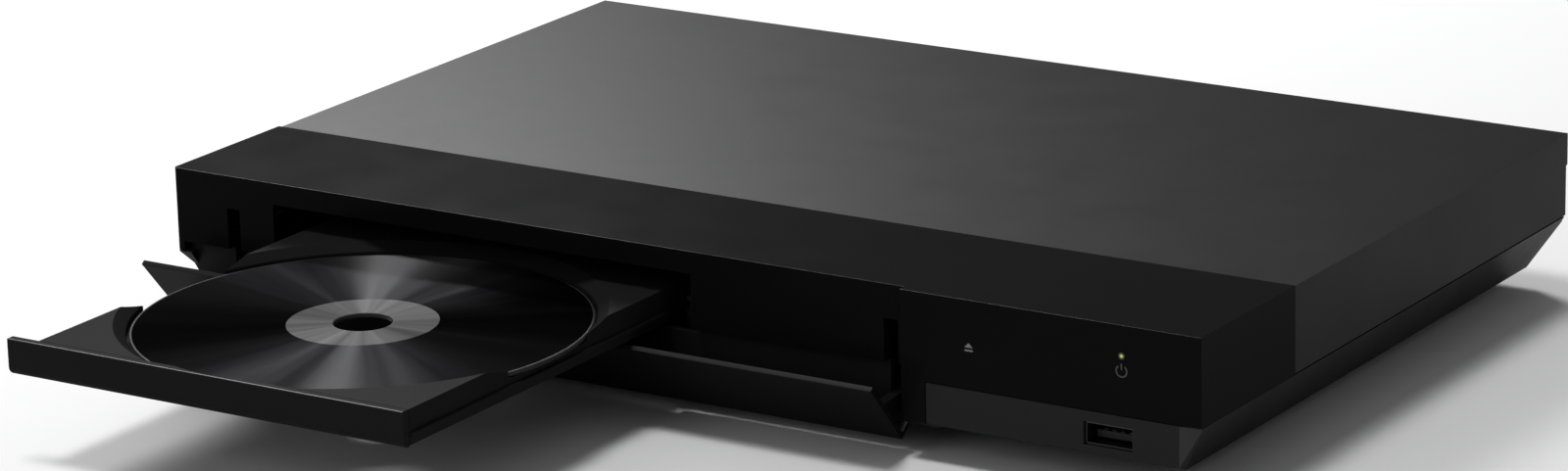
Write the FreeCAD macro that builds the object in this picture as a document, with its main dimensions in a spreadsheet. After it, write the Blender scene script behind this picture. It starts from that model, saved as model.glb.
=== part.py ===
import FreeCAD, Part
import Sketcher
import math
import os
import re

# Compact disc player with its tray out and its flap tipped open. Lengths are in millimetres, angles in
# degrees.
# Everything is worked out in the case's frame: x to the right from the middle of the case, y back from the
# front face, z up from the shelf. The whole part is then moved along y, so that the origin is on the shelf
# in the middle of the footprint with the tray out.

doc = FreeCAD.newDocument("disc_player")

sizes = {
    # case
    "case_wide": 320, "case_deep": 210, "case_high": 40.3, "foot_high": 4.7, "foot_radius": 9,
    "foot_side": 32, "foot_front": 36, "foot_back": 26,
    "band_high": 16.8, "side_inset": 12, "front_lift": 5.7, "front_inset": 14.2,
    "bezel_deep": 49.5, "bezel_wall": 2.3, "sheet_wall": 0.8, "seam_gap": 0.2, "spare": 5,
    "cover_drop": 0.3, "cover_inset": 0.4, "cover_lip": 9, "pan_flange": 6, "bezel_tongue": 5, "tongue_wall": 1.6,
    "facet_wide": 6.2, "facet_turn": 1.2, "corner_wide": 16, "fascia_wall": 2, "fascia_floor": 1.4,
    "fascia_side": 1.6,
    "round_end": 1, "vent_pitch": 8, "vent_wide": 3, "vent_low": 30, "vent_high": 39, "vent_count": 9,
    # flap and its hinge
    "end_wide": 86.4, "leg_wide": 7, "recess_deep": 2.3, "pocket_high": 2.7, "pocket_deep": 5.3, "pocket_lift": 3,
    "shelf_wall": 1.6, "flap_wall": 1.5, "flap_gap": 0.6, "flap_drop": 0.9, "flap_turn": 41,
    "flap_return": 3.3, "return_wall": 1.2, "return_out": 12.7, "return_gap": 4.1,
    "pivot_back": 23.3, "pivot_up": 14.5, "pivot_boss": 4, "pin_radius": 1.5, "running_gap": 0.05,
    "arm_half": 1.5, "arm_out": 19.9, "arm_in": 4.2, "arm_low": 28, "arm_high": 34,
    "arm_slot_half": 2.1, "arm_slot_top": 35.7, "arm_slot_back": 11.5,
    "ear_wall": 1.5, "ear_gap": 0.5, "ear_half": 4.3, "ear_foot": 1.2,
    "spring_wire": 0.6, "spring_gap": 0.15, "spring_turns": 4, "spring_leg": 6, "pin_end": 4, "pin_proud": 0.5,
    "coil_pitch": 0.75,
    # tray and disc
    "tray_ahead": 110, "tray_back": 45, "tray_in": 100.8, "tray_wide": 116.2, "tray_low": 23.3,
    "tray_high": 32.7, "tray_under": 26, "tray_skirt": 2, "tray_stroke": 112,
    "disc_radius": 60, "disc_wall": 1.2, "disc_hole": 7.5, "disc_up": 28.6, "disc_gap": 0.2, "disc_set": 61.8,
    "well_radius": 63.8, "well_foot": 60.6, "well_rim": 30.5, "small_well_radius": 40.5, "small_well_deep": 1,
    "slot_half": 19, "slot_back": 62,
    "front_wall": 2.5, "front_low": 22.9, "front_over": 8.5, "front_under": 0.1, "front_scoop": 60.9,
    "front_round": 2.2, "rail_low": 25.5, "rail_high": 26.7, "rail_out": 1, "slide_gap": 0.2,
    "door_gap": 0.6, "door_over": 9.8, "door_top": 38.9, "door_foot": 22.3,
    # drive frame and clamp
    "frame_front": 14.6, "frame_over": 1, "frame_low": 7, "frame_floor": 9.2, "frame_wall": 4.7,
    "frame_high": 30, "lintel_high": 18.9, "lintel_deep": 1.2, "window_gap": 2, "window_end": 4,
    "window_side": 5, "relief_gap": 0.6, "relief_wall": 2.4, "relief_low": 0.4, "relief_high": 1.6,
    "frame_foot": 4, "foot_in": 9,
    "foot_end": 5, "bridge_up": 38, "bridge_wall": 1.2, "bridge_half": 15, "bridge_bore": 8,
    "puck_hole": 10, "puck_plate": 15, "puck_low": 33.4, "puck_wall": 2, "puck_stem": 9, "puck_cap": 13,
    "puck_gap": 0.1,
    # tray gears
    "gear_module": 1, "rack_over": 1, "gear_back": 27, "rack_in": 9.3, "rack_rib": 3.4,
    "pinion_teeth": 18, "wheel_teeth": 24,
    "small_teeth": 12, "pinion_low": 23.5, "pinion_high": 25.7, "wheel_low": 19.2, "wheel_high": 21.8,
    "gear_hub": 4, "gear_post": 2, "foot_gap": 0.2, "pulley_radius": 11, "pulley_low": 12, "pulley_high": 16,
    "groove_deep": 1.4, "groove_wide": 1.8, "drive_span": 36, "drive_pulley": 4.2, "belt_wide": 1.4,
    "belt_gap": 0.1, "motor_radius": 10, "motor_low": 5.9, "motor_high": 11.4, "motor_flange": 11,
    "flange_wall": 0.8, "shaft_radius": 1, "shaft_set": 4,
    # lift chassis, measured in its raised position
    "hinge_back": 144, "hinge_up": 12, "hinge_radius": 2, "lift_turn": 4.2, "chassis_half": 45.8,
    "chassis_front": 45.5, "chassis_back": 148, "chassis_low": 15, "chassis_high": 17, "chassis_ear": 3,
    "hinge_pin_long": 5, "lug_gap": 0.5, "lug_wall": 8, "lug_half": 4, "lug_high": 16.5,
    "upstand_wall": 2, "upstand_high": 23.4, "upstand_half": 14, "cam_pin_radius": 1.3, "cam_pin_half": 10,
    "cam_pin_up": 21, "cam_pin_front": 39.6, "cam_front": 40.2, "cam_back": 42.2, "cam_low": 9.4,
    "cam_high": 25.2, "cam_half": 31, "cam_stroke": 12, "cam_slot_gap": 0.4, "guide_wall": 1.2,
    "guide_high": 11.4, "guide_half": 44, "chassis_window": 20, "chassis_window_front": 80,
    "chassis_window_back": 137, "spindle_radius": 11.5, "spindle_high": 25.4, "table_radius": 14.5,
    "table_wall": 2.4, "table_up": 28.4, "hub_radius": 7.2, "hub_high": 2.6, "hub_top": 5.6,
    # laser sled, measured in the raised position
    "rod_half": 24, "rod_radius": 1.5, "rod_up": 20, "rod_front": 76, "rod_back": 141, "rod_post": 2.6,
    "rod_grip": 2, "rod_set": 1, "sled_front": 79.6, "sled_back": 101.6, "sled_half": 29, "sled_low": 17.6,
    "sled_high": 23.6, "sled_stroke": 33, "lens_front": 82.6, "lens_back": 92.4, "lens_half": 9,
    "lens_block_high": 26.4, "lens_radius": 3, "lens_proud": 0.5, "lens_set": 1, "sled_module": 0.75,
    "sled_teeth": 16, "sled_pinion_teeth": 8, "sled_rib": 2.4, "sled_gear_back": 108, "sled_gear_low": 18.2,
    "sled_gear_high": 20.8, "sled_motor_radius": 6.5, "sled_motor_low": 8.6,
    # electronics
    "board_wall": 1.6, "post_radius": 3, "post_high": 5, "screw_radius": 1.4, "head_radius": 2.7,
    "head_high": 1.6, "hole_radius": 1.6, "screw_deep": 3.5, "screw_in": 20, "board_gap": 24.2, "board_side": 14,
    "board_front": 96, "board_end": 6, "power_side": 16, "power_over": 3.8, "power_gap": 4,
    "post_in": 5, "post_end": 8, "chip_half": 14, "chip_in": 48, "chip_ahead": 54, "chip_wall": 2,
    "side_chip_half": 7, "side_chip_out": 28, "side_chip_up": 6, "side_chip_down": 18, "left_chip_half": 8.7,
    "left_chip_out": 32, "left_chip_down": 10, "sink_high": 11,
    "sink_base": 2, "sink_half": 17, "fin_wall": 1.2, "fin_count": 7, "can_radius": 4, "can_high": 11,
    "can_in": 14, "can_ahead": 12, "can_step": 12, "can_side": 8,
    "hdmi_in": 16, "hdmi_wide": 15, "hdmi_high": 5.9, "hdmi_deep": 13, "shell_wall": 0.35, "socket_proud": 0.6,
    "tongue_half": 5.5, "tongue_set": 6, "tongue_high": 1.2, "hole_gap": 0.3, "net_step": 26, "net_wide": 16,
    "net_high": 13.4, "net_deep": 18, "net_wall": 1.6, "net_mouth": 13, "audio_step": 24, "audio_wide": 12,
    "audio_high": 13, "audio_deep": 12, "audio_barrel": 4.15, "audio_bore": 1.6, "audio_proud": 7,
    "audio_bore_deep": 8, "inlet_in": 14, "inlet_wide": 24, "inlet_high": 16, "inlet_deep": 20,
    "inlet_proud": 1, "inlet_mouth_radius": 3.8, "inlet_mouth_deep": 12,
    "blade_half": 4.3, "blade_radius": 1.2, "blade_set": 2, "transformer_in": 52, "transformer_wide": 26,
    "transformer_deep": 20, "transformer_high": 20, "bulk_in": 94, "bulk_radius": 8, "bulk_high": 25,
    "port_in": 26.4, "port_up": 15.3, "port_wide": 13.5, "port_high": 5.7, "port_set": 1, "port_deep": 15,
    "port_wall": 0.3, "port_gap": 0.25, "port_tongue": 1.8, "port_tongue_half": 5.6, "port_tongue_set": 3.6, "port_tongue_up": 0.6,
    "port_board_front": 6, "port_board_back": 40, "port_board_half": 11, "port_post_in": 4,
    "panel_out": 76.5, "panel_in": 10, "panel_low": 25.5, "panel_high": 41, "panel_set": 2.9,
    "panel_post": 2, "panel_post_in": 3, "pad_half": 4.5, "pad_up_half": 3.5, "pad_gap": 0.1,
    "eject_in": 66.3, "mark_up": 32.9, "power_in": 22.4, "lamp_up": 37, "lamp_radius": 0.9, "lamp_gap": 0.08,
    "lamp_rim": 1.6, "lamp_rim_wall": 0.8, "ribbon_wall": 0.3, "ribbon_half": 6, "ribbon_in": 24.5,
    "ribbon_gap": 0.1, "drive_ribbon_in": 32, "ribbon_start": 15, "ribbon_run": 8, "ribbon_rise": 6,
    "ribbon_hold": 5, "lead_radius": 0.9, "lead_pitch": 2.5,
    "plug_deep": 12, "plug_wide": 6, "plug_high": 5,
}

# places that follow from the sizes above
places = {
    "half": "case_wide / 2",
    "pan_up": "foot_high + sheet_wall",
    "band_up": "foot_high + band_high",
    "top_up": "foot_high + case_high",
    "lip_up": "foot_high + front_lift",
    "cover_up": "top_up - cover_drop",
    "cover_half": "half - cover_inset",
    "base_half": "half - side_inset",
    "lean": "side_inset / band_high",
    "corner_x": "half - corner_wide",
    "pocket_up": "band_up + pocket_high",
    "pocket_lip": "foot_high + pocket_lift",
    "wall_in": "case_deep - sheet_wall",
    "shift": "(tray_ahead - case_deep - audio_proud) / 2",
    "recess_end": "half - end_wide",
    "fascia_start": "recess_end + leg_wide",
    "arm_left": "arm_out - half",
    "arm_right": "recess_end - arm_in",
    "tray_mid": "tray_in - half",
    "tray_left": "tray_mid - tray_wide / 2",
    "tray_right": "tray_mid + tray_wide / 2",
    "return_left": "tray_left - return_out",
    "return_right": "tray_right + return_gap",
    "front_left": "tray_left - front_over",
    "front_right": "tray_right - front_under",
    "door_left": "front_left - door_gap",
    "door_right": "tray_right + door_over",
    "disc_y": "disc_set - tray_ahead",
    "spindle_y": "disc_set - tray_ahead + tray_stroke",
    "relief_half": "disc_radius + relief_gap",
    "well_up": "disc_up - disc_gap",
    "flap_left": "-half",
    "end_stop": "2 * bezel_wall - half",
    "flap_right": "recess_end - flap_gap",
    "flap_up": "top_up - flap_drop",
    "groove_left": "tray_left - rail_out - slide_gap",
    "groove_right": "tray_right + rail_out + slide_gap",
    "frame_half": "max(tray_wide / 2 + slide_gap + frame_wall; disc_radius + relief_gap + relief_wall)",
    "frame_left": "tray_mid - frame_half",
    "frame_right": "tray_mid + frame_half",
    "frame_side": "frame_half - tray_wide / 2 - slide_gap",
    "frame_back": "tray_back + tray_stroke + frame_over",
    "window_front": "chassis_front - window_gap",
    "window_back": "chassis_back + window_end",
    "window_half": "chassis_half + lug_gap + window_side",
    "rack_x": "tray_left + rack_in",
    "pinion_x": "rack_x + gear_module * pinion_teeth / 2",
    "small_x": "pinion_x + gear_module * (wheel_teeth + small_teeth) / 2",
    "motor_x": "small_x + drive_span",
    "belt_up": "(pulley_low + pulley_high) / 2",
    "cam_mid": "(cam_front + cam_back) / 2",
    "cam_pin_down": "hinge_up + (cam_pin_up - hinge_up) * cos(lift_turn) - (hinge_back - cam_mid) * sin(lift_turn)",
    "sled_rack_x": "tray_mid + sled_half + sled_rib",
    "sled_gear_x": "sled_rack_x + sled_module * sled_teeth / 2",
    "sled_pinion_y": "sled_gear_back + sled_module * (sled_teeth + sled_pinion_teeth) / 2",
    "board_left": "frame_right + board_gap",
    "board_right": "half - board_side",
    "board_back": "case_deep - board_end",
    "power_left": "power_side - half",
    "power_right": "frame_right - power_over",
    "power_front": "frame_back + power_gap",
    "power_mid": "(board_back + power_front) / 2",
    "chip_x": "board_left + chip_in",
    "chip_y": "board_front + chip_ahead",
    "hdmi_x": "board_left + hdmi_in",
    "net_x": "hdmi_x + net_step",
    "audio_x": "net_x + audio_step",
    "inlet_x": "power_left + inlet_in",
    "transformer_x": "power_left + transformer_in",
    "bulk_x": "power_left + bulk_in",
    "port_x": "half - port_in",
    "power_x": "half - power_in",
    "eject_x": "half - eject_in",
    "panel_left": "half - panel_out",
    "panel_right": "half - panel_in",
    "ribbon_x": "panel_left + ribbon_in",
    "drive_ribbon_y": "board_front + drive_ribbon_in",
    "board_up": "pan_up + post_high",
    "deck_up": "board_up + board_wall",
    "port_floor": "port_up - port_high / 2",
    "panel_front": "bezel_wall + panel_set",
}

sheet = doc.addObject("Spreadsheet::Sheet", "Sizes")
for row, (alias, number) in enumerate(sizes.items(), start=1):
    sheet.set(f"A{row}", str(number))
    sheet.setAlias(f"A{row}", alias)
doc.recompute()


def formula(text):
    # put the sheet's name before each of its aliases
    return re.sub(r"[a-z_]+", lambda word: f"Sizes.{word.group()}" if word.group() in known else word.group(), text)


known = set(sizes)
for row, (alias, rule) in enumerate(places.items(), start=1):
    sheet.set(f"B{row}", "=" + rule)
    sheet.setAlias(f"B{row}", alias)
known |= set(places)
doc.recompute()


def size(alias):
    return float(sheet.get(alias))


def bind(thing, slot, rule):
    thing.setExpression(slot, formula(str(rule)))


def block(x, y, z):
    # a box between pairs of places on the three axes
    box = doc.addObject("Part::Box", "Block")
    for side, axis, (low, high) in zip(("Length", "Width", "Height"), "xyz", (x, y, z)):
        bind(box, side, f"({high}) - ({low})")
        bind(box, f"Placement.Base.{axis}", low)
    return box


turned = {
    "x": FreeCAD.Rotation(FreeCAD.Vector(0, 1, 0), 90),
    "y": FreeCAD.Rotation(FreeCAD.Vector(1, 0, 0), -90),
    "z": FreeCAD.Rotation(),
}


def lay(thing, axis, across, up, low):
    # set a round piece along an axis, with its centre line at the two other places
    thing.Placement = FreeCAD.Placement(FreeCAD.Vector(), turned[axis])
    spots = {"x": (low, across, up), "y": (across, low, up), "z": (across, up, low)}[axis]
    for name, spot in zip("xyz", spots):
        bind(thing, f"Placement.Base.{name}", spot)
    return thing


def bar(axis, across, up, span, radius):
    rod = doc.addObject("Part::Cylinder", "Bar")
    bind(rod, "Radius", radius)
    bind(rod, "Height", f"({span[1]}) - ({span[0]})")
    return lay(rod, axis, across, up, span[0])


def taper(axis, across, up, span, radius, end_radius):
    cone = doc.addObject("Part::Cone", "Taper")
    bind(cone, "Radius1", radius)
    bind(cone, "Radius2", end_radius)
    bind(cone, "Height", f"({span[1]}) - ({span[0]})")
    return lay(cone, axis, across, up, span[0])


def join(*shapes):
    if len(shapes) == 1:
        return shapes[0]
    whole = doc.addObject("Part::MultiFuse", "Join")
    whole.Shapes = list(shapes)
    return whole


def cut(base, *tools):
    rest = doc.addObject("Part::Cut", "Cut")
    rest.Base = base
    rest.Tool = join(*tools)
    return rest


def group(*shapes):
    several = doc.addObject("Part::Compound", "Group")
    several.Links = list(shapes)
    return several


def outline(body, plane, low, points):
    # a closed sketch on a plane of the body's own origin; every corner is held by its two distances
    sketch = body.newObject("Sketcher::SketchObject", "Outline")
    own = [feature for feature in body.Origin.OriginFeatures if feature.Role == plane + "_Plane"][0]
    sketch.AttachmentSupport = (own, [""])
    sketch.MapMode = "FlatFace"
    bind(sketch, "AttachmentOffset.Base.z", f"-({low})" if plane == "XZ" else low)
    count = len(points)
    turns = [math.tau * i / count for i in range(count)]
    rough = [FreeCAD.Vector(math.cos(turn), math.sin(turn), 0) for turn in turns]
    for i in range(count):
        sketch.addGeometry(Part.LineSegment(rough[i], rough[(i + 1) % count]), False)
    for i in range(count):
        sketch.addConstraint(Sketcher.Constraint("Coincident", i, 2, (i + 1) % count, 1))
    for i, point in enumerate(points):
        for kind, rule in zip(("DistanceX", "DistanceY"), point):
            spot = sketch.addConstraint(Sketcher.Constraint(kind, -1, 1, i, 1, 1.0))
            bind(sketch, f"Constraints[{spot}]", rule)
    return sketch


def prism(plane, low, high, points):
    # a pad of a closed outline, between two places on the axis that its plane leaves out
    body = doc.addObject("PartDesign::Body", "Prism")
    pad = body.newObject("PartDesign::Pad", "Pad")
    pad.Profile = outline(body, plane, low, points)
    pad.Reversed = plane == "XZ"
    bind(pad, "Length", f"({high}) - ({low})")
    return body


def wedge(corners):
    # a flat-sided solid through its corners, given as faces of points in millimetres
    faces = [Part.Face(Part.makePolygon([*face, face[0]])) for face in corners]
    return Part.makeSolid(Part.makeShell(faces))


def feature(shape):
    made = doc.addObject("Part::Feature", "Made")
    made.Shape = shape
    return made


nodes = {}


def node(name, shape, turn=None, back="pivot_back", up="pivot_up"):
    # name a finished piece and put it in place: the shared shift and, where asked, a turn about an x axis
    if shape.TypeId in ("Part::Box", "Part::Cylinder"):
        shape = group(shape)
    shape.Label = name
    nodes[name] = shape
    angle = turn or "0"
    shape.Placement = FreeCAD.Placement(FreeCAD.Vector(), FreeCAD.Rotation(FreeCAD.Vector(1, 0, 0), 1))
    bind(shape, "Placement.Rotation.Angle", angle)
    bind(shape, "Placement.Base.y", f"shift + ({back}) - (({back}) * cos({angle}) - ({up}) * sin({angle}))")
    bind(shape, "Placement.Base.z", f"({up}) - (({back}) * sin({angle}) + ({up}) * cos({angle}))")
    return shape


def both(middle, reach):
    # a pair of places, given as the middle and half the width
    return (f"{middle} - {reach}", f"{middle} + {reach}")


# the glossy front, top and end walls, with the recess that the flap closes into
shell = join(
    block(("-half", "half"), ("0", "bezel_wall"), ("band_up", "top_up")),
    block(("-half", "half"), ("0", "bezel_deep"), ("top_up - bezel_wall", "top_up")),
    block(("-half", "bezel_wall - half"), ("0", "bezel_deep"), ("band_up", "top_up")),
    block(("half - bezel_wall", "half"), ("0", "bezel_deep"), ("band_up", "top_up")),
    block(("-half", "recess_end + bezel_wall"), ("recess_deep", "recess_deep + bezel_wall"), ("band_up", "top_up")),
    block(
        ("bezel_wall - half", "recess_end"),
        ("recess_deep", "pocket_deep + fascia_wall"),
        ("pocket_up", "pocket_up + shelf_wall"),
    ),
    block(
        ("cover_inset + bezel_wall - half", "half - cover_inset - bezel_wall"),
        ("bezel_deep - bezel_wall", "bezel_deep + bezel_tongue"),
        ("cover_up - sheet_wall - seam_gap - tongue_wall", "cover_up - sheet_wall - seam_gap"),
    ),
)
end_round = cut(
    block(("-half - 1", "round_end - half"), ("recess_deep - 1", "recess_deep + round_end"), ("0", "top_up + 1")),
    bar("z", "round_end - half", "recess_deep + round_end", ("-1", "top_up + 2"), "round_end"),
)
hollows = [
    block(("-half - 1", "recess_end"), ("-1", "recess_deep"), ("0", "top_up + 1")),
    block(("bezel_wall - half", "recess_end"), ("-1", "pocket_deep"), ("0", "pocket_up")),
    block(("door_left", "door_right"), ("-1", "pocket_deep + fascia_wall + 1"), ("0", "door_top")),
    end_round,
]
for arm in ("arm_left", "arm_right"):
    hollows.append(block(both(arm, "arm_slot_half"), ("-1", "pocket_deep + fascia_wall + 1"), ("0", "arm_slot_top")))
leg = prism("YZ", "recess_end", "fascia_start", [
    ("0", "lip_up"),
    ("0", "band_up + 1"),
    ("recess_deep + bezel_wall", "band_up + 1"),
    ("recess_deep + bezel_wall", "lip_up - (recess_deep + bezel_wall) * front_lift / front_inset"),
])
posts = []
for x in ("panel_left + panel_post_in", "panel_right - panel_post_in"):
    for z in ("panel_low + panel_post_in", "panel_high - panel_post_in"):
        posts.append(bar("y", x, z, ("bezel_wall - 1", "panel_front"), "panel_post"))
lamp_hole = bar("y", "power_x", "lamp_up", ("-1", "bezel_wall + 1"), "lamp_radius + lamp_gap")
node("front_bezel", cut(join(cut(shell, *hollows), leg, *posts), lamp_hole))

# the matte lower front: a flat band with a leaning underside at the right, a set-back wall under the flap

side_top = "band_up - seam_gap"


def corner(across, back, up, raise_by):
    # the bevelled right end of the lower front, moved by the three distances, with its top raised
    start = size("corner_x") - 1
    top = size("band_up") - size("seam_gap") + raise_by
    lean = (size("front_inset") - size("facet_turn")) / size("band_high")
    top_back = size("front_inset") - lean * (size("band_high") - size("seam_gap"))
    spots = {
        "low": (start, 0, size("lip_up")),
        "high": (start, 0, top),
        "low_back": (start, size("front_inset"), size("foot_high")),
        "high_back": (start, top_back, top),
        "bevel_low": (size("half") - size("facet_wide"), 0, size("lip_up")),
        "bevel_high": (size("half") - size("facet_wide"), 0, top),
        "toe": (size("base_half"), size("front_inset"), size("foot_high")),
        "shoulder": (size("half"), top_back, top),
    }
    spots = {name: FreeCAD.Vector(*spot) + FreeCAD.Vector(across, back, up) for name, spot in spots.items()}
    sides = (
        ("low", "bevel_low", "bevel_high", "high"),
        ("bevel_low", "shoulder", "bevel_high"),
        ("bevel_low", "toe", "shoulder"),
        ("low", "low_back", "toe", "bevel_low"),
        ("high", "bevel_high", "shoulder", "high_back"),
        ("low_back", "high_back", "shoulder", "toe"),
        ("low", "high", "high_back", "low_back"),
    )
    return feature(wedge([[spots[name] for name in side] for side in sides]))


def band(low, high, back, up, raise_by):
    # a straight run of the lower front's full profile
    return prism("YZ", low, high, [
        (back, f"lip_up + {up}"),
        (back, f"band_up - seam_gap + {up} + {raise_by}"),
        (f"front_inset + {back}", f"band_up - seam_gap + {up} + {raise_by}"),
        (f"front_inset + {back}", f"foot_high + {up}"),
    ])


right_part = join(
    cut(
        band("fascia_start + seam_gap", "corner_x", "0", "0", "0"),
        band("fascia_start + seam_gap + fascia_wall", "corner_x + 1", "fascia_wall", "fascia_floor", "fascia_wall"),
    ),
    cut(corner(0, 0, 0, 0), corner(-size("fascia_side"), size("fascia_wall"), size("fascia_floor"), 0)),
)
left_part = prism("YZ", "-half", "fascia_start + seam_gap + 1", [
    ("pocket_deep", "pocket_lip"),
    ("pocket_deep", "pocket_up - seam_gap"),
    ("pocket_deep + fascia_wall", "pocket_up - seam_gap"),
    ("pocket_deep + fascia_wall", "pocket_lip + fascia_floor"),
    ("front_inset", "foot_high + fascia_wall"),
    ("front_inset", "foot_high"),
])
# the end wall in front of the set-back wall, with the same leaning front and side as the right end
front_lean = "(band_high / (front_inset - recess_deep))"
left_end = prism("YZ", "-half", "end_stop", [
    ("recess_deep", side_top),
    ("pocket_deep + fascia_wall", side_top),
    ("pocket_deep + fascia_wall", f"band_up - (pocket_deep - recess_deep) * {front_lean}"),
    ("pocket_deep", f"band_up - (pocket_deep - recess_deep) * {front_lean}"),
])
left_lean = prism("XZ", "-1", "front_inset + 1", [
    ("-base_half + spare * lean", "foot_high - spare"),
    ("-half - spare * lean", "band_up + spare"),
    ("-half - side_inset", "band_up + spare"),
    ("-half - side_inset", "foot_high - spare"),
])
fascia_cuts = [
    left_lean,
    block(
        ("-half - 1", "bezel_wall + seam_gap - half"), ("pocket_deep - 1", "front_inset"),
        (side_top, "top_up"),
    ),
    block(("door_left", "door_right"), ("0", "front_inset + 1"), ("door_foot", "top_up")),
    block(
        both("port_x", "(port_wide / 2 + port_gap)"),
        ("-1", "fascia_wall + 1"),
        both("port_up", "(port_high / 2 + port_gap)"),
    ),
]
for arm in ("arm_left", "arm_right"):
    fascia_cuts.append(block(both(arm, "arm_slot_half"), ("pocket_deep - 1", "arm_slot_back"), ("0", "top_up")))
node("lower_fascia", cut(join(right_part, left_part, left_end), *fascia_cuts))

# the steel floor with its leaning sides, which end in flanges inside the cover
flange_x = "cover_half - sheet_wall - seam_gap"
skin = "sheet_wall * sqrt(1 + lean * lean)"
sides = []
for hand in ("", "-"):
    sides.append(prism("XZ", "0", "wall_in - seam_gap / 2", [
        (f"{hand}(base_half)", "foot_high"),
        (f"{hand}(half - seam_gap * lean)", side_top),
        (f"{hand}({flange_x})", side_top),
        (f"{hand}({flange_x})", "band_up + pan_flange"),
        (f"{hand}({flange_x} - sheet_wall)", "band_up + pan_flange"),
        (f"{hand}({flange_x} - sheet_wall)", f"band_up - (half - {skin} - {flange_x} + sheet_wall) / lean"),
        (f"{hand}(base_half + sheet_wall * lean - {skin})", "pan_up"),
    ]))
floor = block(
    ("-base_half", "base_half"), ("front_inset + seam_gap", "wall_in - seam_gap / 2"), ("foot_high", "pan_up"),
)
mitre_right = prism("YZ", "0", "half + 1", [
    ("-1", "0"),
    ("front_inset + seam_gap", "0"),
    ("front_inset + seam_gap", "foot_high"),
    ("facet_turn + seam_gap + (front_inset - facet_turn) * seam_gap / band_high", side_top),
    ("bezel_deep + seam_gap", side_top),
    ("bezel_deep + seam_gap", "top_up"),
    ("-1", "top_up"),
])
mitre_left = prism("YZ", "-half - 1", "0", [
    ("-1", "0"),
    ("front_inset + seam_gap", "0"),
    ("front_inset + seam_gap", "foot_high + fascia_wall + seam_gap"),
    ("pocket_deep + fascia_wall + seam_gap", "pocket_lip + fascia_wall"),
    ("pocket_deep + fascia_wall + seam_gap", side_top),
    ("bezel_deep + seam_gap", side_top),
    ("bezel_deep + seam_gap", "top_up"),
    ("-1", "top_up"),
])
node("base_pan", cut(join(floor, *sides), mitre_right, mitre_left))

# the steel back with its openings
panel = prism("XZ", "wall_in", "case_deep", [
    ("-base_half", "foot_high"),
    ("base_half", "foot_high"),
    (flange_x, f"foot_high + ({flange_x} - base_half) / lean"),
    (flange_x, "cover_up - sheet_wall - seam_gap"),
    (f"-({flange_x})", "cover_up - sheet_wall - seam_gap"),
    (f"-({flange_x})", f"foot_high + ({flange_x} - base_half) / lean"),
])
openings = [
    block(
        both("hdmi_x", "(hdmi_wide / 2 + hole_gap)"),
        ("wall_in - 1", "case_deep + 1"),
        ("deck_up - hole_gap", "deck_up + hdmi_high + hole_gap"),
    ),
    block(
        both("net_x", "(net_wide / 2 + hole_gap)"),
        ("wall_in - 1", "case_deep + 1"),
        ("deck_up - hole_gap", "deck_up + net_high + hole_gap"),
    ),
    bar("y", "audio_x", "deck_up + audio_high / 2", ("wall_in - 1", "case_deep + 1"), "audio_barrel + hole_gap"),
    block(
        both("inlet_x", "(inlet_wide / 2 + hole_gap)"),
        ("wall_in - 1", "case_deep + 1"),
        ("deck_up - hole_gap", "deck_up + inlet_high + hole_gap"),
    ),
]
for i in range(int(size("vent_count"))):
    middle = f"transformer_x + {i} * vent_pitch"
    openings.append(block(both(middle, "vent_wide / 2"), ("wall_in - 1", "case_deep + 1"), ("vent_low", "vent_high")))
screw_spots = [(x, "cover_up - cover_lip / 2") for x in ("screw_in - half", "0", "half - screw_in")]
screw_holes = [bar("y", x, z, ("wall_in - 1", "case_deep + sheet_wall + 1"), "hole_radius") for x, z in screw_spots]
node("rear_panel", cut(panel, *openings, *screw_holes))

# the folded steel cover
cover = cut(
    block(("-cover_half", "cover_half"), ("bezel_deep + seam_gap", "case_deep"), ("band_up", "cover_up")),
    block(
        ("sheet_wall - cover_half", "cover_half - sheet_wall"),
        ("0", "case_deep + 1"),
        ("0", "cover_up - sheet_wall"),
    ),
)
lip = block(
    ("-cover_half", "cover_half"), ("case_deep", "case_deep + sheet_wall"), ("cover_up - cover_lip", "cover_up"),
)
node("top_cover", cut(join(cover, lip), group(*screw_holes)))

feet = []
for x in ("foot_side - half", "half - foot_side"):
    for y in ("foot_front", "case_deep - foot_back"):
        feet.append(bar("z", x, y, ("0", "foot_high"), "foot_radius"))
node("rubber_feet", group(*feet))


def screw(axis, first, second, seat, way="-"):
    # a round-headed screw whose head stands on the seat and whose shank goes the other way
    low, high = (f"{seat} - screw_deep", seat) if way == "-" else (seat, f"{seat} + screw_deep")
    head = (seat, f"{seat} + head_high") if way == "-" else (f"{seat} - head_high", seat)
    return join(bar(axis, first, second, (low, high), "screw_radius"), bar(axis, first, second, head, "head_radius"))


node("cover_screws", group(*[screw("y", x, z, "case_deep + sheet_wall") for x, z in screw_spots]))

# the flap, drawn closed and then turned open on its two arms
flap_parts = [
    block(("flap_left", "flap_right"), ("0", "flap_wall"), ("band_up", "flap_up")),
    block(
        ("end_stop + flap_gap", "return_left"), ("0", "flap_wall + flap_return"),
        ("band_up", "band_up + return_wall"),
    ),
    block(
        ("return_right", "flap_right"), ("0", "flap_wall + flap_return"),
        ("band_up", "band_up + return_wall"),
    ),
]
for arm in ("arm_left", "arm_right"):
    flap_parts.append(prism("YZ", f"{arm} - arm_half", f"{arm} + arm_half", [
        ("flap_wall / 2", "arm_low"),
        ("flap_wall / 2", "arm_high"),
        ("flap_wall", "arm_high"),
        ("pivot_back", "pivot_up + pivot_boss"),
        ("pivot_back", "pivot_up - pivot_boss / 2"),
        ("pivot_back - pivot_boss", "pivot_up"),
    ]))
    flap_parts.append(bar("x", "pivot_back", "pivot_up", both(arm, "arm_half"), "pivot_boss"))
flap_bore = bar("x", "pivot_back", "pivot_up", ("-half", "half"), "pin_radius + running_gap")
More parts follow.
